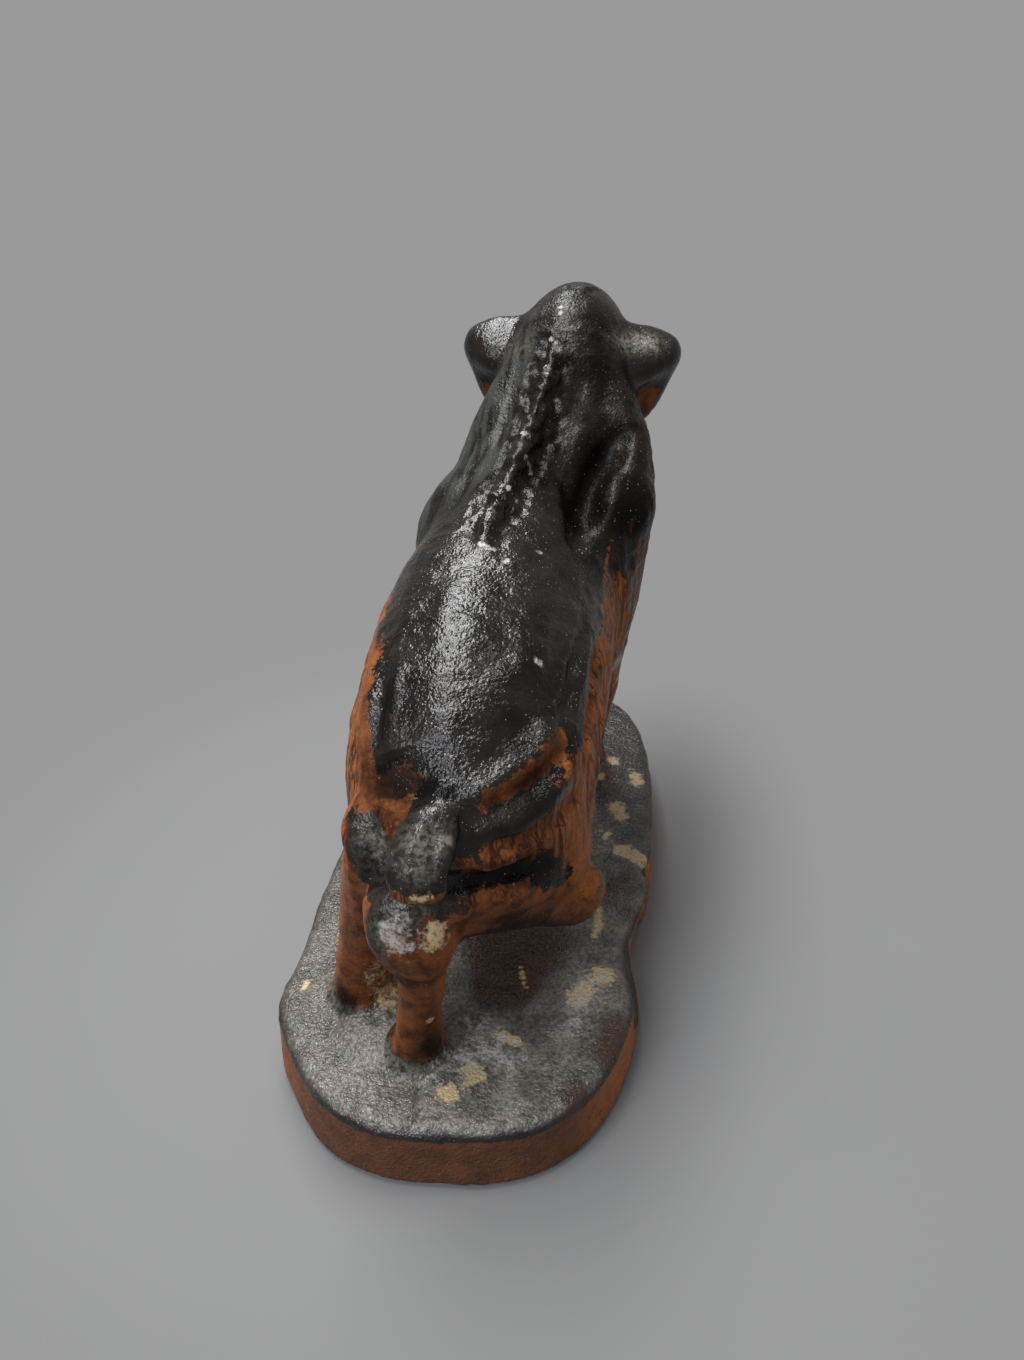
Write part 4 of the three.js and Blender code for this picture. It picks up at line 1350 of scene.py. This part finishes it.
class Nodes:
    """A material's nodes, laid out by short calls."""

    def __init__(self, name):
        self.material = bpy.data.materials.new(name)
        self.material.use_nodes = True
        self.tree = self.material.node_tree
        self.shader = self.tree.nodes["Principled BSDF"]

    def put(self, kind, sockets=None, **settings):
        node = self.tree.nodes.new(kind)
        for key, worth in settings.items():
            setattr(node, key, worth)
        for key, worth in (sockets or {}).items():
            self.feed(node.inputs[key], worth)
        return node

    def feed(self, socket, worth):
        if isinstance(worth, bpy.types.NodeSocket):
            self.tree.links.new(worth, socket)
        else:
            socket.default_value = worth

    def mask(self, name):
        return self.put("ShaderNodeAttribute", attribute_name=name).outputs["Fac"]

    def place(self, stretch=(1, 1, 1), turn=0.0):
        """Object coordinates, drawn out along each axis, after a turn about X."""
        here = self.put("ShaderNodeTexCoord").outputs["Object"]
        return self.put("ShaderNodeMapping", {"Vector": here, "Scale": stretch, "Rotation": (turn, 0, 0)},
                        vector_type="TEXTURE").outputs["Vector"]

    def noise(self, size, detail=4, rough=0.55, stretch=(1, 1, 1), turn=0.0):
        """Noise with features of the given size in millimetres."""
        return self.put("ShaderNodeTexNoise", {
            "Vector": self.place(stretch, turn),
            "Scale": 1 / (size * MM),
            "Detail": detail,
            "Roughness": rough,
        }).outputs["Fac"]

    def cells(self, size):
        """Small cells: how far each point is from its cell's middle, and two chances of the cell's own."""
        sockets = {"Vector": self.place(), "Scale": 1 / (size * MM)}
        node = self.put("ShaderNodeTexVoronoi", sockets, feature="F1")
        chance = self.put("ShaderNodeSeparateColor", {"Color": node.outputs["Color"]})
        return node.outputs["Distance"], chance.outputs[0], chance.outputs[1]

    def worked_out(self, operation, *values):
        return self.put("ShaderNodeMath", dict(enumerate(values)), operation=operation).outputs[0]

    def sum(self, a, b):
        return self.worked_out("ADD", a, b)

    def less(self, a, b):
        return self.worked_out("SUBTRACT", a, b)

    def times(self, a, b):
        return self.worked_out("MULTIPLY", a, b)

    def larger(self, a, b):
        return self.worked_out("MAXIMUM", a, b)

    def unsigned(self, a):
        return self.worked_out("ABSOLUTE", a)

    def ramp(self, value, low, high, start=0.0, end=1.0):
        return self.put("ShaderNodeMapRange", {
            "Value": value, "From Min": low, "From Max": high, "To Min": start, "To Max": end,
        }, interpolation_type="SMOOTHSTEP").outputs["Result"]

    def blend(self, share, first, second):
        return self.put("ShaderNodeMix", {0: share, 6: first, 7: second}, data_type="RGBA").outputs[2]

    def colour(self, worth):
        self.feed(self.shader.inputs["Base Color"], worth)

    def roughness(self, worth):
        self.feed(self.shader.inputs["Roughness"], worth)

    def bump(self, height, strength, depth):
        """Relief of the given height, its full depth in millimetres."""
        node = self.put("ShaderNodeBump", {"Height": height, "Strength": strength, "Distance": depth * MM})
        self.feed(self.shader.inputs["Normal"], node.outputs["Normal"])


BLACK = (0.0036, 0.0025, 0.0020, 1)
CHARCOAL = (0.0125, 0.0092, 0.0074, 1)
# Browns of the painted warm reflection, partly a brown patina; the dark one also colours the ground's
# painted shadow and the eyes' irises
BROWN_DARK = (0.062, 0.021, 0.008, 1)
BROWN_WARM = (0.165, 0.052, 0.016, 1)
# Painted warm reflection at the edges, where the skin faces aside
EDGE_REFLECTION_ORANGE = (0.38, 0.122, 0.030, 1)
# Brown of the plinth's walls: painted warm reflection, partly a brown patina
WALL = (0.115, 0.050, 0.028, 1)
MOSS = (0.030, 0.032, 0.028, 1)
# Grey of dust; on the ground it also paints a sheen, on the ears and the left hock it paints highlights
DUST_AND_SHEEN_GREY = (0.200, 0.180, 0.153, 1)
TAN = (0.54, 0.40, 0.22, 1)
ASH = (0.42, 0.40, 0.37, 1)
# Near-black of painted shade
SHADE_BLACK = (0.003, 0.0026, 0.0024, 1)
SPECK_AND_GLINT = (0.40, 0.36, 0.30, 1)
REFLECTANCE = 0.32
BROWN_REFLECTANCE = 0.10


GROUND_SHINE = 1.7
SATIN_SHINE = 0.4
GROUND_GLOSS = (0.16, 0.36)
BODY_GLOSS = (0.12, 0.28)
BARE_GLOSS = 0.22
SATIN_GLOSS = 0.16
GROUND_DEPTH = 0.75
BODY_DEPTH = 0.27
LEATHER_BUMP = 0.6

# Thin black lines on the brown flanks: width and length. Pale specks, partly dust and partly painted
# glints: size of their cells, how rare they are and their radius in cells
BLACK_LINES = [(1.5, 22), (2.6, 14)]
SPECKS_AND_GLINTS = [(1.7, 0.80, 0.11), (0.75, 0.66, 0.18)]


def lacquer_material(name, ground):
    """Black lacquer, brown in places (painted warm reflection, partly a brown patina), worn to a tan core.
    The plinth's carries dust and a painted sheen, with a coarser grain.
    """
    n = Nodes(name)
    grain = n.noise(0.9, 2, 0.5)
    broken = n.less(n.sum(n.noise(2.4, 3, 0.6), n.times(n.noise(0.7, 2, 0.6), 0.7)), 0.85)
    colour = n.blend(n.ramp(n.noise(8, 5), 0.35, 0.7), BLACK, CHARCOAL)
    if ground:
        patches = n.ramp(n.noise(7, 5, 0.6), 0.36, 0.62, 0.45, 1)
        mottle = n.times(patches, n.ramp(grain, 0.34, 0.6, 0.6, 1.2))
        # Dust and painted sheen on the open ground, kept off the painted shadow
        open_ground = n.times(n.mask("near"), n.less(1.0, n.mask("shade")))
        colour = n.blend(n.times(mottle, open_ground), colour, DUST_AND_SHEEN_GREY)
        colour = n.blend(n.ramp(n.mask("shade"), 0.3, 1, 0, 0.7), colour, BROWN_DARK)
    else:
        smear = n.noise(2.6, 3, 0.5, (1, 7, 1), NECK_TURN)
        colour = n.blend(n.times(n.mask("moss"), n.ramp(smear, 0.38, 0.52)), colour, MOSS)
        # Dust, which on the ears and the left hock paints highlights and on the tail partly a sheen
        fine_dust = n.ramp(n.noise(1.1, 4, 0.65), 0.36, 0.62, 0.1, 0.8)
        colour = n.blend(n.times(n.mask("dust_and_sheen"), fine_dust), colour, DUST_AND_SHEEN_GREY)
    # Brown: painted warm reflection, partly a brown patina
    brown = n.blend(n.ramp(n.noise(4, 5, 0.65), 0.36, 0.62), BROWN_DARK, BROWN_WARM)
    # Stronger painted warm reflection towards the edges
    brown = n.blend(n.times(n.mask("orange"), n.ramp(broken, -0.25, 0.1, 0.35, 1)), brown, EDGE_REFLECTION_ORANGE)
    if ground:
        brown = n.blend(n.ramp(n.mask("orange"), 0, 1, 0.6, 0), brown, WALL)
    else:
        lines = 0.0
        for width, length in BLACK_LINES:
            middle = n.less(n.noise(width, 1, 0.4, (1, 1, length)), 0.5)
            lines = n.larger(lines, n.ramp(n.unsigned(middle), 0.015, 0.08, 1, 0))
        lines = n.times(lines, n.ramp(n.noise(4, 3, 0.5, (1, 1, 3)), 0.38, 0.58, 0.35, 1))
        brown = n.blend(n.times(lines, n.ramp(n.mask("streak"), 0, 1, 0, 0.75)), brown, BLACK)
    share = n.ramp(n.sum(n.mask("brown"), n.times(broken, 1.1)), 0.36, 0.62)
    colour = n.blend(share, colour, brown)
    # Painted shade: near-black in grooves, hollows, under the belly and at the feet
    soot = n.ramp(n.mask("soot"), 0.2, 0.9, 0, 0.9)
    colour = n.blend(soot, colour, SHADE_BLACK)
    worn, pale = (
        n.times(n.ramp(n.sum(n.mask(wear), n.times(broken, 1.5)), 0.2, 0.75, 0, 0.9),
                n.ramp(n.mask(wear), 0.08, 0.3))
        for wear in ("worn", "pale"))
    pits = n.ramp(n.noise(0.8, 4, 0.7), 0.34, 0.5, 0.35, 1)
    colour = n.blend(n.times(worn, pits), colour, TAN)
    colour = n.blend(n.times(pale, pits), colour, ASH)
    bare = n.larger(worn, pale)
    # Pale specks: partly dust, partly painted glints
    dots = 0.0
    for size, rare, radius in SPECKS_AND_GLINTS:
        away, chance, strength = n.cells(size)
        dot = n.times(n.ramp(away, radius * 0.6, radius, 1, 0), n.ramp(chance, rare, rare + 0.02))
        dots = n.larger(dots, n.times(dot, strength))
    n.colour(n.blend(n.times(dots, 0.6), colour, SPECK_AND_GLINT))

    shine = n.ramp(n.larger(share, soot), 0, 1, REFLECTANCE, BROWN_REFLECTANCE)
    shine = n.times(shine, GROUND_SHINE if ground else n.ramp(n.mask("satin"), 0, 1, 1, SATIN_SHINE))
    n.shader.inputs["Specular IOR Level"].default_value = REFLECTANCE
    n.feed(n.shader.inputs["Specular IOR Level"], shine)
    away, chance, _ = n.cells(0.9)
    gloss = n.ramp(chance, 0, 1, *(GROUND_GLOSS if ground else BODY_GLOSS))
    gloss = n.sum(gloss, n.times(n.larger(bare, share), BARE_GLOSS))
    if not ground:
        gloss = n.sum(gloss, n.times(n.mask("satin"), SATIN_GLOSS))
    n.roughness(gloss)
    pebble = n.ramp(away, 0.1, 0.6, 1, 0)
    height = n.sum(n.times(grain, 0.8), n.times(pebble, 0.3))
    height = n.sum(height, n.times(n.noise(0.45, 1, 0.5), 0.35))
    height = n.sum(height, n.less(n.times(dots, 0.3), n.times(bare, 0.3)))
    n.bump(height, LEATHER_BUMP, GROUND_DEPTH if ground else BODY_DEPTH)
    return n.material


lacquer = lacquer_material("black lacquer", False)
lacquer_ground = lacquer_material("ground lacquer", True)

skin = build_object("skin", points, quads)
LEG_SWELL = 1.8
TAIL_SWELL = 1.3
EAR_SWELL = 2.6
GROUND_GAP = 0.2
GROUND_CUT = 9.0
regions = {
    "hind_leg_left": region("hind_left_region", (placed(SHANK_LEFT, LEG_SWELL), X_AXIS, None),
                            (placed(CANNON_LEFT, LEG_SWELL), X_AXIS, None)),
    "hind_leg_right": region("hind_right_region", (placed(SHANK_RIGHT, LEG_SWELL), X_AXIS, None),
                             (placed(CANNON_RIGHT, LEG_SWELL), X_AXIS, None)),
    "fore_leg_left": region("fore_left_region", (placed(FORELEG_LEFT, LEG_SWELL), X_AXIS, None)),
    "fore_leg_right": region("fore_right_region", (placed(FORELEG_RIGHT, LEG_SWELL), X_AXIS, None)),
    "tail": region("tail_region", (placed(TAIL_RUN, TAIL_SWELL), X_AXIS, None)),
    "ear_left": region("ear_left_region", (placed(EAR_LEFT, EAR_SWELL), Z_AXIS, X_AXIS)),
    "ear_right": region("ear_right_region", (placed(EAR_RIGHT, EAR_SWELL), Z_AXIS, -X_AXIS)),
}
LEGS = ("hind_leg_left", "hind_leg_right", "fore_leg_left", "fore_leg_right")
above_ground = half_space("above_ground", BOAR + [0, 0, GROUND_GAP], Z_AXIS)
upper = half_space("upper", BOAR + [0, 0, GROUND_CUT], Z_AXIS)
head_side = half_space("head_side", BOAR + SEAM_POINT, SEAM_FACING)
cutters = {name: reshaped(name + "_cutter", regions[name], [("INTERSECT", above_ground)]) for name in LEGS}
all_legs = reshaped("all_legs", cutters[LEGS[0]], [("UNION", cutters[name]) for name in LEGS[1:]])

# The skin is first cut into large parts, and these into the pieces
body_part = reshaped("body_part", skin, [("DIFFERENCE", all_legs)])
leg_part = reshaped("leg_part", skin, [("INTERSECT", all_legs)])
trunk_part = reshaped("trunk_part", body_part, [("INTERSECT", upper)])
head_part = reshaped("head_part", trunk_part, [("INTERSECT", head_side)])
without_tail = ("DIFFERENCE", regions["tail"])
without_ears = [("DIFFERENCE", regions[ear]) for ear in ("ear_left", "ear_right")]
pieces = {
    "plinth": reshaped("plinth_skin", body_part, [("DIFFERENCE", upper)]),
    "torso": reshaped("torso_skin", trunk_part, [("DIFFERENCE", head_side), without_tail]),
    "head": reshaped("head_skin", head_part, without_ears),
    "ear_left": reshaped("ear_left_skin", head_part, [("INTERSECT", regions["ear_left"])]),
    "ear_right": reshaped("ear_right_skin", head_part, [("INTERSECT", regions["ear_right"])]),
    "tail": reshaped("tail_skin", skin, [("INTERSECT", regions["tail"])]),
}
for name in LEGS:
    cuts = [("INTERSECT", cutters[name]), without_tail]
    if name == "hind_leg_right":
        cuts.append(("DIFFERENCE", cutters["hind_leg_left"]))
    pieces[name] = reshaped(name + "_skin", leg_part, cuts)
helpers = [skin, above_ground, upper, head_side, all_legs, body_part, leg_part, trunk_part, head_part]
for helper in [*helpers, *regions.values(), *cutters.values()]:
    bpy.data.objects.remove(helper)


SHARP_ANGLE = math.radians(50)
for node, piece in pieces.items():
    mesh = piece.data
    mesh.polygons.foreach_set("use_smooth", np.ones(len(mesh.polygons), bool))
    mesh.set_sharp_from_angle(angle=SHARP_ANGLE)
    sharpen_cuts(mesh)
    place = np.empty(len(mesh.vertices) * 3, np.float32)
    mesh.vertices.foreach_get("co", place)
    place = place.reshape(-1, 3) / MM
    facing = clay.normals(place, FINISH_REACH)
    for name, amount in finish_masks(node, place, facing).items():
        layer = mesh.attributes.new(name, "FLOAT", "POINT")
        layer.data.foreach_set("value", amount.astype(np.float32))
    mesh.materials.clear()
    mesh.materials.append(lacquer_ground if node == "plinth" else lacquer)
    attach(piece, "root")
    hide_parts(node)

TUSK = [
    (4.6, -74, 90.8, 1.7, 1.7),
    (7.8, -76, 92, 1.6, 1.6),
    (9.6, -77.4, 95, 1.2, 1.2),
    (9.4, -77.8, 98.4, 0.5, 0.5),
]
TUSK_MIDDLE = -12.4
TUSK_SIDES = 28
TUSK_ROOT = 92
TUSK_STAIN = 5
IVORY = (0.62, 0.52, 0.36, 1)
IVORY_STAIN = (0.20, 0.11, 0.045, 1)
AMBER = (0.18, 0.065, 0.012, 1)
STEEL = (0.46, 0.46, 0.47, 1)
STEEL_DARK = (0.30, 0.30, 0.31, 1)
FELT_BLACK = (0.010, 0.010, 0.011, 1)
FELT_GREY = (0.045, 0.044, 0.046, 1)


def ivory_material():
    n = Nodes("stained ivory")
    root = n.put("ShaderNodeSeparateXYZ", {0: n.place()}).outputs["Z"]
    low = (BOAR[2] + TUSK_ROOT) * MM
    at_root = n.ramp(root, low, low + TUSK_STAIN * MM, 0.8, 0)
    stain = n.sum(at_root, n.ramp(n.noise(1.2, 4, 0.6, (1, 1, 4)), 0.4, 0.7, 0, 0.5))
    n.colour(n.blend(stain, IVORY, IVORY_STAIN))
    n.roughness(n.ramp(n.noise(2, 3), 0.3, 0.7, 0.25, 0.45))
    n.bump(n.noise(0.6, 3, 0.6, (1, 1, 5)), 0.3, 0.2)
    return n.material


def bead_material():
    n = Nodes("glass bead")
    ring = n.mask("ring")
    iris = n.blend(n.ramp(n.noise(0.3, 4, 0.7), 0.35, 0.65), AMBER, BROWN_DARK)
    colour = n.blend(n.ramp(ring, 0.26, 0.32), BLACK, iris)
    n.colour(n.blend(n.ramp(ring, 0.58, 0.66), colour, BLACK))
    n.roughness(n.ramp(n.noise(1, 2), 0.3, 0.7, 0.05, 0.14))
    return n.material


def steel_material():
    n = Nodes("pin steel")
    n.shader.inputs["Metallic"].default_value = 1.0
    n.colour(n.blend(n.ramp(n.noise(1.5, 5, 0.7), 0.35, 0.65), STEEL, STEEL_DARK))
    n.roughness(n.ramp(n.noise(0.8, 4), 0.3, 0.7, 0.25, 0.45))
    n.bump(n.noise(0.4, 3), 0.3, 0.1)
    return n.material


def felt_material():
    n = Nodes("pressed felt")
    fibres = n.noise(0.5, 6, 0.75, (1, 3, 1))
    crossed = n.noise(0.5, 6, 0.75, (3, 1, 1))
    mixed = n.larger(fibres, crossed)
    n.colour(n.blend(n.ramp(mixed, 0.45, 0.72), FELT_BLACK, FELT_GREY))
    n.shader.inputs["Roughness"].default_value = 0.95
    n.shader.inputs["Specular IOR Level"].default_value = 0.2
    n.bump(mixed, 0.8, 0.2)
    return n.material


def finished(piece, node, material):
    face_out(piece.data)
    piece.data.polygons.foreach_set("use_smooth", np.ones(len(piece.data.polygons), bool))
    piece.data.materials.append(material)
    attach(piece, "root")
    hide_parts(node)
    return piece


# Glass beads with an iris let into the front, as radius and height, and the way that they look
BEAD_ROUND = np.radians(np.arange(-80, 41, 10))
BEAD_LOOK = (0.9, -0.38, 0.18)
BEAD = [(EYE_RADIUS * math.cos(angle), EYE_RADIUS * math.sin(angle)) for angle in BEAD_ROUND]
BEAD += [(1.36, 1.20), (1.27, 1.24), (1.18, 1.44), (0.95, 1.66), (0.65, 1.80), (0.32, 1.87), (0.06, 1.89)]
glass = bead_material()
ivory = ivory_material()
for node, place in EYES.items():
    side = math.copysign(1, place[0] - FACE_MIDDLE)
    axis = unit(np.array(BEAD_LOOK) * (side, 1, 1))
    centre = BOAR + place
    bead_points, bead_faces = turned(BEAD, centre, axis)
    bead = finished(build_object(node + "_bead", bead_points, bead_faces), node, glass)
    offset = bead_points - centre
    height = offset @ axis
    ring = np.where(height > 0, np.linalg.norm(offset - height[:, None] * axis, axis=1) / EYE_RADIUS, 1)
    bead.data.attributes.new("ring", "FLOAT", "POINT").data.foreach_set("value", ring.astype(np.float32))
for node, side in (("tusk_left", 1), ("tusk_right", -1)):
    rows = placed([(TUSK_MIDDLE + side * x, *rest) for x, *rest in TUSK])
    finished(build_object(node + "_horn", *run_loft(rows, Y_AXIS, None, TUSK_SIDES)), node, ivory)

# Felt: pressed flat, its cut edge slightly rounded
felt_low, felt_high = (corner.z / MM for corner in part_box("felt_pad"))
felt_edge = plinth_outline(FELT_STEPS, FELT_INSET)
felt_middle = (felt_edge.max(0) + felt_edge.min(0)) / 2
FELT_RINGS = 20
FELT_SPREAD = (0.02, 0.995)
FELT_FUZZ = 0.05
FELT_FUZZ_SIZE = 1.8
rings = []
for way, level in ((1, felt_low), (-1, felt_high)):
    for share in np.linspace(*FELT_SPREAD, FELT_RINGS)[::way]:
        flat = felt_middle + (felt_edge - felt_middle) * share
        ring = np.column_stack([flat, np.full(len(flat), level)])
        ring[:, 2] += way * FELT_FUZZ * (1 + lumps(ring, FELT_FUZZ_SIZE, 2))
        rings.append(ring)
    if way == 1:
        half_way = np.full(len(felt_edge), (felt_low + felt_high) / 2)
        rings.append(np.column_stack([felt_edge, half_way]))
felt = finished(build_object("felt_sheet", *closed_rings(rings)), "felt_pad", felt_material())

pin_steel = steel_material()
for name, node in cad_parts.items():
    if "dowel" in name:
        for material_slot in node.material_slots:
            material_slot.material = pin_steel

# Floor, light and camera
BACKDROP = (0.322, 0.322, 0.322, 1)
PAPER = (0.2, 0.2, 0.2, 1)
PAPER_SHADE = (0.194, 0.194, 0.194, 1)
PAPER_START = 0.06
PAPER_END = 0.17
FLOOR_CORNERS = [(-9, -30, 0), (9, -30, 0), (9, 9, 0), (-9, 9, 0)]

# Lamps: name, place, what it lights, width and length, power and colour
LAMPS = [
    ("overhead", (0.17, -0.12, 0.72), (0, 0, 0.06), (0.20, 0.80), 8.5, (1, 1, 1)),
    ("right", (-0.135, -0.035, 0.72), (0, 0, 0.06), (0.15, 0.09), 0.38, (1, 1, 1)),
    ("behind", (0.20, 0.42, 0.42), (0, 0.04, 0.06), (0.26, 0.26), 1.6, (0.86, 0.92, 1.0)),
]


def floor_paper():
    """Pale paper that keeps the shadow near the object and turns into the even backdrop further out."""
    n = Nodes("floor paper")
    n.colour(n.blend(n.noise(60, 2), PAPER, PAPER_SHADE))
    n.shader.inputs["Roughness"].default_value = 0.9
    n.shader.inputs["Specular IOR Level"].default_value = 0.0
    distance = n.put("ShaderNodeVectorMath", {0: n.place()}, operation="LENGTH").outputs["Value"]
    even = n.put("ShaderNodeEmission", {"Color": BACKDROP, "Strength": 1.0}).outputs["Emission"]
    mixed = n.put("ShaderNodeMixShader", {0: n.ramp(distance, PAPER_START, PAPER_END),
                                          1: n.shader.outputs["BSDF"], 2: even})
    n.feed(n.tree.nodes["Material Output"].inputs["Surface"], mixed.outputs["Shader"])
    return n.material


floor_mesh = bpy.data.meshes.new("floor")
floor_mesh.from_pydata(FLOOR_CORNERS, [], [(0, 1, 2, 3)])
floor = bpy.data.objects.new("floor", floor_mesh)
bpy.context.scene.collection.objects.link(floor)
floor_mesh.materials.append(floor_paper())

world = bpy.data.worlds.new("studio")
bpy.context.scene.world = world
world.use_nodes = True
world.node_tree.nodes["Background"].inputs["Color"].default_value = BACKDROP


def area_light(name, place, target, size, power, colour):
    data = bpy.data.lights.new(name, "AREA")
    data.shape = "RECTANGLE"
    data.size, data.size_y = size
    data.energy = power
    data.color = colour
    lamp = bpy.data.objects.new(name, data)
    bpy.context.scene.collection.objects.link(lamp)
    back = unit(np.array(place, float) - target)
    side = unit(np.cross(Y_AXIS, back))
    turn = Matrix((side, np.cross(back, side), back)).transposed()
    lamp.matrix_world = Matrix.Translation(place) @ turn.to_4x4()


for lamp in LAMPS:
    area_light(*lamp)

camera_data = bpy.data.cameras.new("camera")
camera = bpy.data.objects.new("camera", camera_data)
bpy.context.scene.collection.objects.link(camera)
camera_data.sensor_width = SENSOR
camera_data.lens = FOCAL_PIXELS / PHOTO_HEIGHT * SENSOR
camera_data.clip_start = NEAREST
turn = Matrix((CAMERA_RIGHT, CAMERA_UP, -LOOK)).transposed()
camera.matrix_world = Matrix.Translation(Vector(CAMERA_PLACE) * MM) @ turn.to_4x4()
bpy.context.scene.camera = camera
bpy.context.scene.view_settings.view_transform = "Standard"
